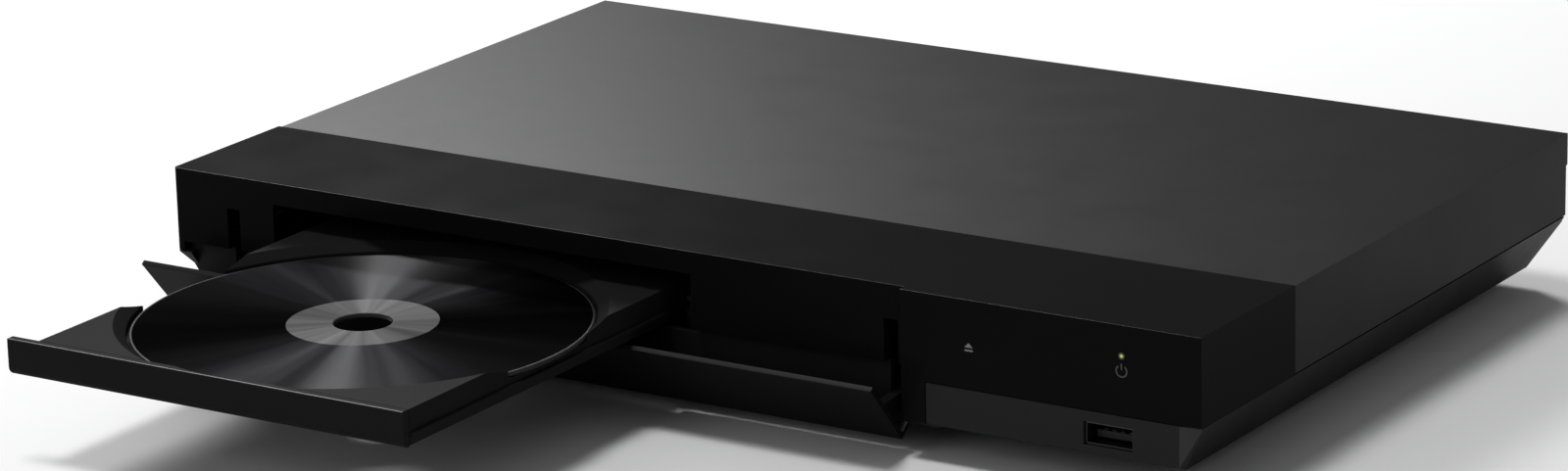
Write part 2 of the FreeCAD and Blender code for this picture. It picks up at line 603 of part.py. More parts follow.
node("front_flap", cut(join(*flap_parts), flap_bore), "flap_turn")


def coil_spring(x, side):
    # a wire wound round a hinge pin, with a straight leg at each end
    coil = size("pin_radius") + size("spring_gap") + size("spring_wire") / 2
    steps = 16 * int(size("spring_turns"))
    pitch = size("coil_pitch")
    spots = []
    for i in range(steps + 1):
        turn = math.tau * i / 16
        spots.append((pitch * i / 16, coil * math.cos(turn), coil * math.sin(turn)))
    legs = [size("spring_leg") * share for share in (1, 0.75, 0.5, 0.25)]
    spots = [(0, coil, -leg) for leg in legs] + spots
    spots += [(spots[-1][0], coil, leg) for leg in reversed(legs)]
    points = [
        FreeCAD.Vector(x + side * first, size("pivot_back") + second, size("pivot_up") + third)
        for first, second, third in spots
    ]
    curve = Part.BSplineCurve()
    curve.interpolate(points)
    ring = Part.makeCircle(size("spring_wire") / 2, points[0], curve.tangent(0)[0])
    return Part.Wire(curve.toShape()).makePipeShell([Part.Wire(ring)], True, False)


ears = []
pins = []
springs = []
for arm, out in (("arm_left", "-"), ("arm_right", "+")):
    reach = "(arm_half + ear_gap + ear_wall)"
    for hand in ("-", "+"):
        near = f"{arm} {hand} (arm_half + ear_gap)"
        far = f"{arm} {hand} {reach}"
        span = (far, near) if hand == "-" else (near, far)
        ears.append(block(span, both("pivot_back", "ear_half"), ("pan_up", "pivot_up + ear_half")))
    ears.append(block(both(arm, reach), both("pivot_back", "ear_half"), ("pan_up", "pan_up + ear_foot")))
    ends = (f"{arm} - {reach}", f"{arm} + {reach}")
    low_end, high_end = ("pin_end", "pin_proud") if out == "-" else ("pin_proud", "pin_end")
    span = (f"{ends[0]} - {low_end}", f"{ends[1]} + {high_end}")
    pins.append(bar("x", "pivot_back", "pivot_up", span, "pin_radius"))
    side = -1 if out == "-" else 1
    ear_edge = size(arm) + side * (size("arm_half") + size("ear_gap") + size("ear_wall"))
    springs.append(feature(coil_spring(ear_edge + side * (size("spring_wire") / 2 + size("spring_gap")), side)))
ear_bore = bar("x", "pivot_back", "pivot_up", ("-half", "half"), "pin_radius + running_gap")
node("flap_brackets", cut(join(*ears), ear_bore))
node("flap_hinge_pins", group(*pins))
node("flap_springs", group(*springs))

# the touch panel's board, its two pads, and the lamp
lens = join(
    bar("y", "power_x", "lamp_up", ("0", "panel_front - pad_gap"), "lamp_radius"),
    bar("y", "power_x", "lamp_up", ("bezel_wall + pad_gap", "bezel_wall + pad_gap + lamp_rim_wall"), "lamp_rim"),
)
node("indicator_lens", lens)
node("touch_board", block(
    ("panel_left", "panel_right"), ("panel_front", "panel_front + board_wall"), ("panel_low", "panel_high"),
))
node("touch_pads", group(*[
    block(
        both(x, "pad_half"), ("bezel_wall + pad_gap", "panel_front - pad_gap"),
        ("mark_up - pad_up_half", "mark_up + pad_up_half - 1"),
    )
    for x in ("eject_x", "power_x")
]))


def socket(x, up, wide, high, wall, front, back, mouth):
    # a thin shell closed at the inner end; the mouth faces the front or the back of the case
    inner = (front, f"{back} - {wall}") if mouth == "front" else (f"{front} + {wall}", back)
    inner = (f"{inner[0]} - 1", inner[1]) if mouth == "front" else (inner[0], f"{inner[1]} + 1")
    return cut(
        block(both(x, f"({wide}) / 2"), (front, back), (up, f"{up} + {high}")),
        block(both(x, f"(({wide}) / 2 - {wall})"), inner, (f"{up} + {wall}", f"{up} + {high} - {wall}")),
    )


usb_shell = socket("port_x", "port_floor", "port_wide", "port_high", "port_wall", "port_set", "port_deep", "front")
usb_tongue = block(
    both("port_x", "port_tongue_half"), ("port_set + port_tongue_set", "port_deep"),
    ("port_floor + port_wall + port_tongue_up", "port_floor + port_wall + port_tongue_up + port_tongue"),
)
node("usb_socket", join(usb_shell, usb_tongue))
port_post_spots = [
    (f"port_x {hand} (port_board_half - port_post_in)", "port_board_back - post_in") for hand in "-+"
]
node("usb_board", cut(
    block(
        both("port_x", "port_board_half"), ("port_board_front", "port_board_back"),
        ("port_floor - board_wall", "port_floor"),
    ),
    *[bar("z", x, y, ("0", "port_floor + 1"), "hole_radius") for x, y in port_post_spots],
))

# the drive frame: floor with a window, grooved side walls, lintel, gear posts, hinge lugs and cam guides
frame_parts = [
    cut(
        block(("frame_left", "frame_right"), ("frame_front", "frame_back"), ("frame_low", "frame_floor")),
        block(both("tray_mid", "window_half"), ("window_front", "window_back"), ("0", "frame_high")),
    ),
    block(("frame_left", "frame_left + frame_side"), ("frame_front", "frame_back"), ("frame_low", "frame_high")),
    block(("frame_right - frame_side", "frame_right"), ("frame_front", "frame_back"), ("frame_low", "frame_high")),
    block(("frame_left", "frame_right"), ("frame_front", "frame_front + lintel_deep"), ("frame_low", "lintel_high")),
    block(both("tray_mid", "guide_half"), ("cam_front - slide_gap - guide_wall", "cam_front - slide_gap"),
          ("frame_low", "guide_high")),
    block(both("tray_mid", "guide_half"), ("cam_back + slide_gap", "cam_back + slide_gap + guide_wall"),
          ("frame_low", "guide_high")),
    bar("z", "pinion_x", "gear_back", ("frame_low", "pinion_high"), "gear_post"),
    bar("z", "small_x", "gear_back", ("frame_low", "wheel_high"), "gear_post"),
]
for low, high in (("frame_left", "frame_left + frame_side"), ("frame_right - frame_side", "frame_right")):
    frame_parts.append(block((low, high), both("spindle_y", "bridge_half"), ("frame_low", "bridge_up")))
for hand in ("-", "+"):
    near = f"tray_mid {hand} (chassis_half + lug_gap)"
    far = f"tray_mid {hand} (chassis_half + lug_gap + lug_wall)"
    span = (far, near) if hand == "-" else (near, far)
    frame_parts.append(block(span, both("hinge_back", "lug_half"), ("frame_low", "lug_high")))
foot_spots = [(x, y) for x in ("frame_left + foot_in", "frame_right - foot_in")
              for y in ("frame_front + foot_in", "frame_back - foot_end")]
for x, y in foot_spots:
    frame_parts.append(bar("z", x, y, ("pan_up", "frame_floor"), "frame_foot"))
frame_cuts = [
    block(
        both("tray_mid", "relief_half"), ("0", "case_deep"),
        ("disc_up - relief_low", "disc_up + disc_wall + relief_high"),
    ),
    block(("groove_left", "groove_right"), ("0", "case_deep"), ("rail_low - slide_gap", "rail_high + slide_gap")),
    bar("x", "hinge_back", "hinge_up", both("tray_mid", "(window_half + 1)"), "hinge_radius + running_gap"),
    bar("z", "motor_x", "gear_back", ("0", "frame_high"), "motor_radius + hole_gap"),
]
for x, y in foot_spots:
    frame_cuts.append(bar("z", x, y, ("0", "frame_floor + 1"), "hole_radius"))
bridge_spots = [(x, "spindle_y") for x in ("frame_left + frame_side / 2", "frame_right - frame_side / 2")]
for x, y in bridge_spots:
    frame_cuts.append(bar("z", x, y, ("bridge_up - bridge_bore", "bridge_up + spare"), "hole_radius"))
node("loader_frame", cut(join(*frame_parts), *frame_cuts))
bridge_holes = [bar("z", x, y, ("bridge_up - bridge_bore", "bridge_up + spare"), "hole_radius") for x, y in bridge_spots]
node("clamp_bridge", cut(
    block(("frame_left", "frame_right"), both("spindle_y", "bridge_half"), ("bridge_up", "bridge_up + bridge_wall")),
    bar("z", "tray_mid", "spindle_y", ("bridge_up - 1", "bridge_up + spare"), "puck_hole"),
    *bridge_holes,
))
cap_low = "bridge_up + bridge_wall + puck_gap"
node("clamp_puck", join(
    bar("z", "tray_mid", "spindle_y", ("puck_low", "puck_low + puck_wall"), "puck_plate"),
    bar("z", "tray_mid", "spindle_y", ("puck_low", cap_low), "puck_stem"),
    bar("z", "tray_mid", "spindle_y", (cap_low, f"{cap_low} + bridge_wall"), "puck_cap"),
))
screws = [screw("z", x, y, "frame_floor") for x, y in foot_spots]
screws += [screw("z", x, y, "bridge_up + bridge_wall") for x, y in bridge_spots]
node("loader_screws", group(*screws))

# tooth shapes: half widths at the root, the pitch line and the tip, in modules
tooth = ((-1.25, 0.8), (0, 0.6), (1, 0.3))


def flank(module):
    rising = [(depth * module, -half * module) for depth, half in tooth]
    return rising + [(depth, -half) for depth, half in reversed(rising)]


def gear(x, y, low, high, module, count, phase):
    # a spur gear about an upright axis, with one tooth pointing at the phase angle
    points = []
    for i in range(count):
        turn = math.radians(phase) + math.tau * i / count
        for depth, across in flank(module):
            radius = module * count / 2 + depth
            points.append(FreeCAD.Vector(
                x + radius * math.cos(turn) - across * math.sin(turn),
                y + radius * math.sin(turn) + across * math.cos(turn), low,
            ))
    return feature(Part.Face(Part.makePolygon([*points, points[0]])).extrude(FreeCAD.Vector(0, 0, high - low)))


def rack(x, gap_y, low, high, module, ahead, behind, rib):
    # a rack along y with its teeth towards +x; a gap between teeth lies at gap_y
    pitch = math.pi * module
    root = x + tooth[0][0] * module
    points = [(root - rib, gap_y + behind * pitch), (root - rib, gap_y - ahead * pitch)]
    points.append((root, gap_y - ahead * pitch))
    for i in range(-ahead, behind):
        for depth, across in flank(module):
            points.append((x + depth, gap_y + (i + 0.5) * pitch + across))
    points.append((root, gap_y + behind * pitch))
    corners = [FreeCAD.Vector(first, second, low) for first, second in points]
    return feature(Part.Face(Part.makePolygon([*corners, corners[0]])).extrude(FreeCAD.Vector(0, 0, high - low)))


# the tray, out, with its rack; the disc lies in its well
module = size("gear_module")
rack_behind = 2
ahead = math.ceil(size("tray_stroke") / (math.pi * module)) + rack_behind
tray_rack = rack(
    size("rack_x"), size("gear_back"), size("pinion_low"), size("tray_under") + size("rack_over"), module, ahead,
    rack_behind, size("rack_rib"),
)
tray_body = cut(
    block(("tray_left", "tray_right"), ("front_wall - tray_ahead", "tray_back"), ("tray_low", "tray_high")),
    block(
        ("tray_left + tray_skirt", "tray_right - tray_skirt"),
        ("front_wall + tray_skirt - tray_ahead", "tray_back + 1"), ("0", "tray_under"),
    ),
    bar("z", "tray_mid", "disc_y", ("well_up", "tray_high + 1"), "well_foot"),
    taper("z", "tray_mid", "disc_y", ("well_rim", "tray_high"), "well_foot", "well_radius"),
)
rails = [
    block(span, ("front_wall - tray_ahead", "tray_back"), ("rail_low", "rail_high"))
    for span in (("tray_left - rail_out", "tray_left + 1"), ("tray_right - 1", "tray_right + rail_out"))
]
node("tray", cut(
    join(tray_body, tray_rack, *rails),
    bar("z", "tray_mid", "disc_y", ("well_up - small_well_deep", "tray_high"), "small_well_radius"),
    bar("z", "tray_mid", "disc_y", ("0", "tray_high"), "slot_half"),
    block(both("tray_mid", "slot_half"), ("disc_y", "disc_y + slot_back"), ("0", "well_up + 0.5")),
))
front_edge = cut(
    block(
        ("front_left - 1", "front_right + 1"), ("-tray_ahead - 1", "front_round - tray_ahead"),
        ("front_low - 1", "front_low + front_round"),
    ),
    bar(
        "x", "front_round - tray_ahead", "front_low + front_round", ("front_left - 2", "front_right + 2"),
        "front_round",
    ),
)
node("tray_front", cut(
    block(("front_left", "front_right"), ("-tray_ahead", "front_wall - tray_ahead"), ("front_low", "tray_high")),
    front_edge,
    bar("z", "tray_mid", "disc_y", ("well_up", "tray_high + 1"), "front_scoop"),
))
node("disc", cut(
    bar("z", "tray_mid", "disc_y", ("disc_up", "disc_up + disc_wall"), "disc_radius"),
    bar("z", "tray_mid", "disc_y", ("disc_up - 1", "disc_up + disc_wall + 1"), "disc_hole"),
))

# the gears, pulleys and belt that move the tray
post_bore = [
    bar("z", x, "gear_back", ("0", "frame_high"), "gear_post + running_gap") for x in ("pinion_x", "small_x")
]
node("rack_gear", cut(
    join(
        gear(size("pinion_x"), size("gear_back"), size("pinion_low"), size("pinion_high"), module,
             int(size("pinion_teeth")), 180),
        gear(size("pinion_x"), size("gear_back"), size("wheel_low"), size("wheel_high"), module,
             int(size("wheel_teeth")), 0),
        bar("z", "pinion_x", "gear_back", ("frame_floor + foot_gap", "pinion_high"), "gear_hub"),
    ),
    post_bore[0],
))


def groove(x, radius):
    # the ring cut out of a pulley for the belt
    span = ("belt_up - groove_wide / 2", "belt_up + groove_wide / 2")
    return cut(bar("z", x, "gear_back", span, f"{radius} + 1"), bar("z", x, "gear_back", span, f"{radius} - groove_deep"))


node("pulley_gear", cut(
    join(
        gear(size("small_x"), size("gear_back"), size("wheel_low"), size("wheel_high"), module,
             int(size("small_teeth")), 180 / size("small_teeth")),
        bar("z", "small_x", "gear_back", ("frame_floor + foot_gap", "wheel_high"), "gear_hub"),
        bar("z", "small_x", "gear_back", ("pulley_low", "pulley_high"), "pulley_radius"),
    ),
    groove("small_x", "pulley_radius"),
    post_bore[1],
))
node("motor_pulley", cut(
    join(
        bar("z", "motor_x", "gear_back", ("pulley_low", "pulley_high"), "drive_pulley"),
        bar("z", "motor_x", "gear_back", ("motor_high - shaft_set", "pulley_high"), "shaft_radius"),
    ),
    groove("motor_x", "drive_pulley"),
))
node("loading_motor", cut(
    join(
        bar("z", "motor_x", "gear_back", ("motor_low", "motor_high"), "motor_radius"),
        bar("z", "motor_x", "gear_back", ("frame_floor", "frame_floor + flange_wall"), "motor_flange"),
    ),
    bar("z", "motor_x", "gear_back", ("motor_high - shaft_set - 1", "pulley_high"), "shaft_radius + running_gap"),
))


def loop(grow):
    # the area inside a belt round the two pulleys
    centres = (size("small_x"), size("motor_x"))
    radii = [size(name) - size("groove_deep") + size("belt_gap") + grow for name in ("pulley_radius", "drive_pulley")]
    turn = math.acos((radii[0] - radii[1]) / (centres[1] - centres[0]))
    y, low = size("gear_back"), size("belt_up") - size("belt_wide") / 2
    corners = [
        FreeCAD.Vector(centre + radius * math.cos(turn), y + side * radius * math.sin(turn), low)
        for centre, radius, side in zip(centres * 2, radii * 2, (1, 1, -1, -1))
    ]
    corners = [corners[0], corners[1], corners[3], corners[2]]
    area = Part.Face(Part.makePolygon([*corners, corners[0]])).extrude(FreeCAD.Vector(0, 0, size("belt_wide")))
    for centre, radius in zip(centres, radii):
        area = area.fuse(Part.makeCylinder(radius, size("belt_wide"), FreeCAD.Vector(centre, y, low)))
    return area.removeSplitter()


node("drive_belt", feature(loop(size("belt_wide")).cut(loop(0))))

# the slotted plate that lifts the chassis
slope = "((cam_pin_up - cam_pin_down) / cam_stroke)"
reach = "(cam_pin_radius + cam_slot_gap)"
tall = f"({reach} * sqrt(1 + {slope} * {slope}))"
slots = []
for hand in ("-", "+"):
    low_x = f"tray_mid {hand} cam_pin_half + {reach}"
    high_x = f"tray_mid {hand} cam_pin_half - cam_stroke - {reach}"
    low_z = f"cam_pin_down - {reach} * {slope}"
    high_z = f"cam_pin_up + {reach} * {slope}"
    slots.append(prism("XZ", "cam_front - 1", "cam_back + 1", [
        (low_x, f"{low_z} - {tall}"),
        (low_x, f"{low_z} + {tall}"),
        (high_x, f"{high_z} + {tall}"),
        (high_x, f"{high_z} - {tall}"),
    ]))
node("lift_cam", cut(
    block(both("tray_mid", "cam_half"), ("cam_front", "cam_back"), ("cam_low", "cam_high")),
    *slots,
))

# the chassis that carries the disc motor and the laser sled, drawn raised and then lowered
lowered = {"turn": "lift_turn", "back": "hinge_back", "up": "hinge_up"}
chassis_parts = [
    block(both("tray_mid", "chassis_half"), ("chassis_front", "chassis_back"), ("chassis_low", "chassis_high")),
    block(both("tray_mid", "upstand_half"), ("chassis_front", "chassis_front + upstand_wall"),
          ("chassis_low", "upstand_high")),
]
for hand in ("-", "+"):
    inner = f"tray_mid {hand} (chassis_half - chassis_ear)"
    outer = f"tray_mid {hand} chassis_half"
    tip = f"tray_mid {hand} (chassis_half + hinge_pin_long)"
    chassis_parts.append(block((outer, inner) if hand == "-" else (inner, outer), both("hinge_back", "lug_half"),
                               ("hinge_up - hinge_radius - 0.5", "chassis_high")))
    chassis_parts.append(bar("x", "hinge_back", "hinge_up", (tip, inner) if hand == "-" else (inner, tip),
                             "hinge_radius"))
    chassis_parts.append(bar("y", f"tray_mid {hand} cam_pin_half", "cam_pin_up",
                             ("cam_pin_front", "chassis_front + 1"), "cam_pin_radius"))
    for y in (("rod_front - rod_grip", "rod_front + rod_grip"), ("rod_back - rod_grip", "rod_back + rod_grip")):
        chassis_parts.append(block(both(f"tray_mid {hand} rod_half", "rod_post"), y,
                                   ("chassis_low", "rod_up + rod_post")))
rods = []
rod_bores = []
for hand in ("-", "+"):
    spot = (f"tray_mid {hand} rod_half", "rod_up")
    rods.append(bar("y", *spot, ("rod_front - rod_set", "rod_back + rod_set"), "rod_radius"))
    rod_bores.append(bar("y", *spot, ("rod_front - rod_set - running_gap", "rod_back + rod_set + running_gap"),
                         "rod_radius + running_gap"))
node("traverse_chassis", cut(
    join(*chassis_parts),
    block(both("tray_mid", "chassis_window"), ("chassis_window_front", "chassis_window_back"), ("0", "upstand_high")),
    bar("z", "sled_gear_x", "sled_pinion_y", ("0", "frame_high"), "shaft_radius + 0.5"),
    *rod_bores,
), **lowered)
node("guide_rods", group(*rods), **lowered)
node("spindle_motor", cut(
    bar("z", "tray_mid", "spindle_y", ("chassis_high", "spindle_high"), "spindle_radius"),
    bar("z", "tray_mid", "spindle_y", ("spindle_high - shaft_set - 1", "spindle_high + 1"),
        "shaft_radius + running_gap"),
), **lowered)
node("turntable", join(
    bar("z", "tray_mid", "spindle_y", ("table_up - table_wall", "table_up"), "table_radius"),
    bar("z", "tray_mid", "spindle_y", ("table_up - table_wall", "table_up + hub_high / 2"), "hub_radius"),
    taper("z", "tray_mid", "spindle_y", ("table_up + hub_high / 2", "table_up + hub_high"), "hub_radius", "hub_top"),
    bar("z", "tray_mid", "spindle_y", ("spindle_high - shaft_set", "table_up"), "shaft_radius"),
), **lowered)
sled_module = size("sled_module")
sled_ahead = math.ceil(size("sled_stroke") / (math.pi * sled_module)) + 1
sled_rack = rack(
    size("sled_rack_x"), size("sled_gear_back"), size("sled_gear_low"), size("sled_gear_high"), sled_module,
    sled_ahead, 1, size("sled_rib"),
)
lens_y = "(lens_front + lens_back) / 2"
node("pickup", cut(
    join(
        block(both("tray_mid", "sled_half"), ("sled_front", "sled_back"), ("sled_low", "sled_high")),
        block(both("tray_mid", "lens_half"), ("lens_front", "lens_back"), ("sled_low", "lens_block_high")),
        block(
            ("tray_mid + sled_half - 1", "sled_rack_x - 1.25 * sled_module"), ("sled_front", "sled_back"),
            ("sled_gear_low", "sled_gear_high"),
        ),
        sled_rack,
    ),
    bar("z", "tray_mid", lens_y, ("lens_block_high - lens_set", "frame_high"), "lens_radius + running_gap"),
    *[bar("y", f"tray_mid {hand} rod_half", "rod_up", ("0", "case_deep"), "rod_radius + running_gap")
      for hand in ("-", "+")],
), **lowered)
node("pickup_lens", join(
    bar("z", "tray_mid", lens_y, ("lens_block_high - lens_set", "lens_block_high"), "lens_radius"),
    taper("z", "tray_mid", lens_y, ("lens_block_high", "lens_block_high + lens_proud"), "lens_radius",
          "lens_radius * 0.7"),
), **lowered)
node("sled_gear", join(
    gear(size("sled_gear_x"), size("sled_gear_back"), size("sled_gear_low"), size("sled_gear_high"), sled_module,
         int(size("sled_teeth")), 0),
    bar("z", "sled_gear_x", "sled_gear_back", ("chassis_high + foot_gap", "sled_gear_high"), "shaft_radius + 1"),
), **lowered)
node("sled_pinion", join(
    gear(size("sled_gear_x"), size("sled_pinion_y"), size("sled_gear_low"), size("sled_gear_high"), sled_module,
         int(size("sled_pinion_teeth")), 180 / size("sled_pinion_teeth")),
    bar("z", "sled_gear_x", "sled_pinion_y", ("chassis_low - shaft_set / 2", "sled_gear_high"), "shaft_radius"),
), **lowered)
node("sled_motor", cut(
    bar("z", "sled_gear_x", "sled_pinion_y", ("sled_motor_low", "chassis_low"), "sled_motor_radius"),
    bar("z", "sled_gear_x", "sled_pinion_y", ("chassis_low - shaft_set / 2 - 1", "chassis_low + 1"),
        "shaft_radius + running_gap"),
), **lowered)

# circuit boards on their posts
post_spots = [
    (x, y) for x in ("board_left + post_in", "board_right - post_in")
    for y in ("board_front + post_in", "power_mid - plug_deep / 2 - post_end")
]
post_spots += [
    (x, y) for x in ("power_left + post_in", "power_right - post_in") for y in ("power_front + post_in",)
]
posts = []
for x, y in post_spots:
    posts.append(cut(
        bar("z", x, y, ("pan_up", "board_up"), "post_radius"),
        bar("z", x, y, ("pan_up + 1", "board_up + 1"), "hole_radius"),
    ))
for x, y in port_post_spots:
    posts.append(cut(
        bar("z", x, y, ("pan_up", "port_floor - board_wall"), "post_radius"),
        bar("z", x, y, ("pan_up + 1", "board_up + 1"), "hole_radius"),
    ))
node("board_standoffs", group(*posts))
board_screws = [screw("z", x, y, "deck_up") for x, y in post_spots]
board_screws += [screw("z", x, y, "port_floor") for x, y in port_post_spots]
node("board_screws", group(*board_screws))
board_holes = [bar("z", x, y, ("0", "deck_up + spare"), "hole_radius") for x, y in post_spots]
node("main_board", cut(
    block(("board_left", "board_right"), ("board_front", "board_back"), ("board_up", "deck_up")), group(*board_holes),
))
power_holes = [bar("z", x, y, ("0", "deck_up + spare"), "hole_radius") for x, y in post_spots]
node("power_board", cut(
    block(("power_left", "power_right"), ("power_front", "board_back"), ("board_up", "deck_up")), group(*power_holes),
))
chip_spots = [
    ("chip_x", "chip_y", "chip_half"),
    ("chip_x + side_chip_out", "chip_y + side_chip_up", "side_chip_half"),
    ("chip_x + side_chip_out", "chip_y - side_chip_down", "side_chip_half"),
    ("chip_x - left_chip_out", "chip_y - left_chip_down", "left_chip_half"),
]
node("board_chips", group(*[
    block(both(x, f"({half})"), both(y, f"({half})"), ("deck_up", "deck_up + chip_wall")) for x, y, half in chip_spots
]))
fin_pitch = "((2 * sink_half - fin_wall) / (fin_count - 1))"
sink_parts = [block(both("chip_x", "sink_half"), both("chip_y", "sink_half"),
                    ("deck_up + chip_wall", "deck_up + chip_wall + sink_base"))]
for i in range(int(size("fin_count"))):
    left = f"chip_x - sink_half + {i} * {fin_pitch}"
    sink_parts.append(block((left, f"{left} + fin_wall"), both("chip_y", "sink_half"),
                            ("deck_up + chip_wall", "deck_up + chip_wall + sink_high")))
node("main_heatsink", join(*sink_parts))
can_spots = [
    ("board_left + can_in", "board_front + can_ahead"),
    ("board_left + can_in + can_step", "board_front + can_ahead"),
    ("board_left + can_in", "board_front + can_ahead + can_step"),
    ("chip_x + can_side", "board_front + can_ahead"),
]
node("board_capacitors", group(*[
    bar("z", x, y, ("deck_up", "deck_up + can_high"), "can_radius") for x, y in can_spots
]))

# the sockets at the back
back_edge = "case_deep + socket_proud"
node("hdmi_socket", join(
    socket("hdmi_x", "deck_up", "hdmi_wide", "hdmi_high", "shell_wall", f"{back_edge} - hdmi_deep", back_edge, "back"),
    block(both("hdmi_x", "tongue_half"), (f"{back_edge} - hdmi_deep", f"{back_edge} - tongue_set"),
          both("deck_up + hdmi_high / 2", "tongue_high / 2")),
))
node("lan_socket", cut(
    block(both("net_x", "net_wide / 2"), (f"{back_edge} - net_deep", back_edge), ("deck_up", "deck_up + net_high")),
    block(both("net_x", "net_mouth / 2"), (f"{back_edge} - net_deep + net_wall * 2", f"{back_edge} + 1"),
          ("deck_up + net_wall", "deck_up + net_high - net_wall * 2")),
))
audio_up = "deck_up + audio_high / 2"
node("coax_socket", cut(
    join(
        block(both("audio_x", "audio_wide / 2"), ("wall_in - seam_gap - audio_deep", "wall_in - seam_gap"),
              ("deck_up", "deck_up + audio_high")),
        bar("y", "audio_x", audio_up, ("wall_in - 1", "case_deep + audio_proud"), "audio_barrel"),
    ),
    bar("y", "audio_x", audio_up, ("case_deep + audio_proud - audio_bore_deep", "case_deep + audio_proud + 1"),
        "audio_bore"),
))
inlet_up = "(deck_up + inlet_high / 2)"
inlet_back = "case_deep + inlet_proud"
mouth = (f"{inlet_back} - inlet_mouth_deep", f"{inlet_back} + 1")
inlet_mouth = [bar("y", f"inlet_x {hand} blade_half", inlet_up, mouth, "inlet_mouth_radius") for hand in ("-", "+")]
inlet_mouth.append(block(both("inlet_x", "blade_half"), mouth, both(inlet_up, "inlet_mouth_radius")))
blades = [
    bar("y", f"inlet_x {hand} blade_half", inlet_up,
        (f"{inlet_back} - inlet_mouth_deep - 1", f"{inlet_back} - blade_set"), "blade_radius")
    for hand in ("-", "+")
]
node("ac_inlet", join(
    cut(
        block(both("inlet_x", "inlet_wide / 2"), (f"{inlet_back} - inlet_deep", inlet_back),
              ("deck_up", "deck_up + inlet_high")),
        *inlet_mouth,
    ),
    *blades,
))
node("transformer", join(
    block(both("transformer_x", "transformer_wide / 2"), both("power_mid", "transformer_deep / 2"),
          ("deck_up", "deck_up + transformer_high * 0.2")),
    block(both("transformer_x", "transformer_wide / 2.4"), both("power_mid", "transformer_deep / 2.5"),
          ("deck_up", "deck_up + transformer_high")),
    block(both("transformer_x", "transformer_wide / 2"), both("power_mid", "transformer_deep / 4"),
          ("deck_up", "deck_up + transformer_high * 0.85")),
))
node("bulk_capacitor", bar("z", "bulk_x", "power_mid", ("deck_up", "deck_up + bulk_high"), "bulk_radius"))

# flat cables and leads
back_of_panel = "panel_front + board_wall + ribbon_gap"
run_up = "pan_up + ribbon_gap"
deck = "deck_up + ribbon_gap"
node("front_ribbon", prism("YZ", "ribbon_x - ribbon_half", "ribbon_x + ribbon_half", [
    (back_of_panel, "mark_up"),
    (back_of_panel, "lip_up + 2"),
    ("front_inset + ribbon_rise", run_up),
    ("board_front - ribbon_run", run_up),
    ("board_front - 2", deck),
    ("board_front + ribbon_rise", deck),
    ("board_front + ribbon_rise", f"{deck} + ribbon_wall"),
    ("board_front - 2 - ribbon_wall", f"{deck} + ribbon_wall"),
    ("board_front - ribbon_run - ribbon_wall", f"{run_up} + ribbon_wall"),
    ("front_inset + ribbon_rise", f"{run_up} + ribbon_wall"),
    (f"{back_of_panel} + ribbon_wall", "lip_up + 2 + ribbon_wall"),
    (f"{back_of_panel} + ribbon_wall", "mark_up"),
]))
node("drive_ribbon", prism("XZ", "drive_ribbon_y - ribbon_half", "drive_ribbon_y + ribbon_half", [
    ("frame_right - ribbon_start", run_up),
    ("board_left - ribbon_run", run_up),
    ("board_left - 1.5", deck),
    ("board_left + ribbon_hold", deck),
    ("board_left + ribbon_hold", f"{deck} + ribbon_wall"),
    ("board_left - 1.5 - ribbon_wall", f"{deck} + ribbon_wall"),
    ("board_left - ribbon_run - ribbon_wall", f"{run_up} + ribbon_wall"),
    ("frame_right - ribbon_start", f"{run_up} + ribbon_wall"),
]))
plugs = [
    block(span, both("power_mid", "plug_deep / 2"), ("deck_up", "deck_up + plug_high"))
    for span in (("power_right - 2 - plug_wide", "power_right - 2"), ("board_left + 2", "board_left + 2 + plug_wide"))
]
leads = [
    bar("x", f"power_mid + {i - 1.5} * lead_pitch", "deck_up + plug_high / 2", ("power_right - 3", "board_left + 3"),
        "lead_radius")
    for i in range(4)
]
node("power_harness", join(*plugs, *leads))

doc.recompute()
for thing in doc.Objects:
    if "Invalid" in thing.State or "Error" in thing.State:
        raise RuntimeError(f"{thing.Name} {thing.Label} {thing.State}")
os.makedirs("parts", exist_ok=True)
for name, shape in nodes.items():
    if shape.Shape.isNull() or not shape.Shape.isValid() or not shape.Shape.Solids:
        raise RuntimeError(f"{name} has no sound solid")
    shape.Shape.exportStep(f"parts/{name}.step")
    box = shape.Shape.BoundBox
    print(f"{name}: {len(shape.Shape.Solids)} solids, {shape.Shape.Volume:.0f} mm3, x {box.XMin:.1f} {box.XMax:.1f}, "
          f"y {box.YMin:.1f} {box.YMax:.1f}, z {box.ZMin:.1f} {box.ZMax:.1f}")
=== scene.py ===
import math
import random
import bmesh
import bpy
from mathutils import Matrix, Vector


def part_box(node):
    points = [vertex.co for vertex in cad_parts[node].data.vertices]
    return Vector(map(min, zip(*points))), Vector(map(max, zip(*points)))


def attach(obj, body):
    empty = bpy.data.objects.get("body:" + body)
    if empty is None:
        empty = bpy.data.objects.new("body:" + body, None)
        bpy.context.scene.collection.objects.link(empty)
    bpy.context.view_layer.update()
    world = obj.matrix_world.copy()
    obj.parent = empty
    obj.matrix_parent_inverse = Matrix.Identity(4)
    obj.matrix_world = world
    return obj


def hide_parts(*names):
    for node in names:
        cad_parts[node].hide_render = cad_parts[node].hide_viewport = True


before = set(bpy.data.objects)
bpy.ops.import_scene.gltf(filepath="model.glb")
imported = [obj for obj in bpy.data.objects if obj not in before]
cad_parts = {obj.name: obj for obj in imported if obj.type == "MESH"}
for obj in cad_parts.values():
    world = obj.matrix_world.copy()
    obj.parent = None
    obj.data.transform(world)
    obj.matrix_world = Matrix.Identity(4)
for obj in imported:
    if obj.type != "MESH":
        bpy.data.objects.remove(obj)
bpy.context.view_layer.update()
mm = 0.001
print("frame loaded")


# materials: their patterns follow Object coordinates, and those of the disc its own map

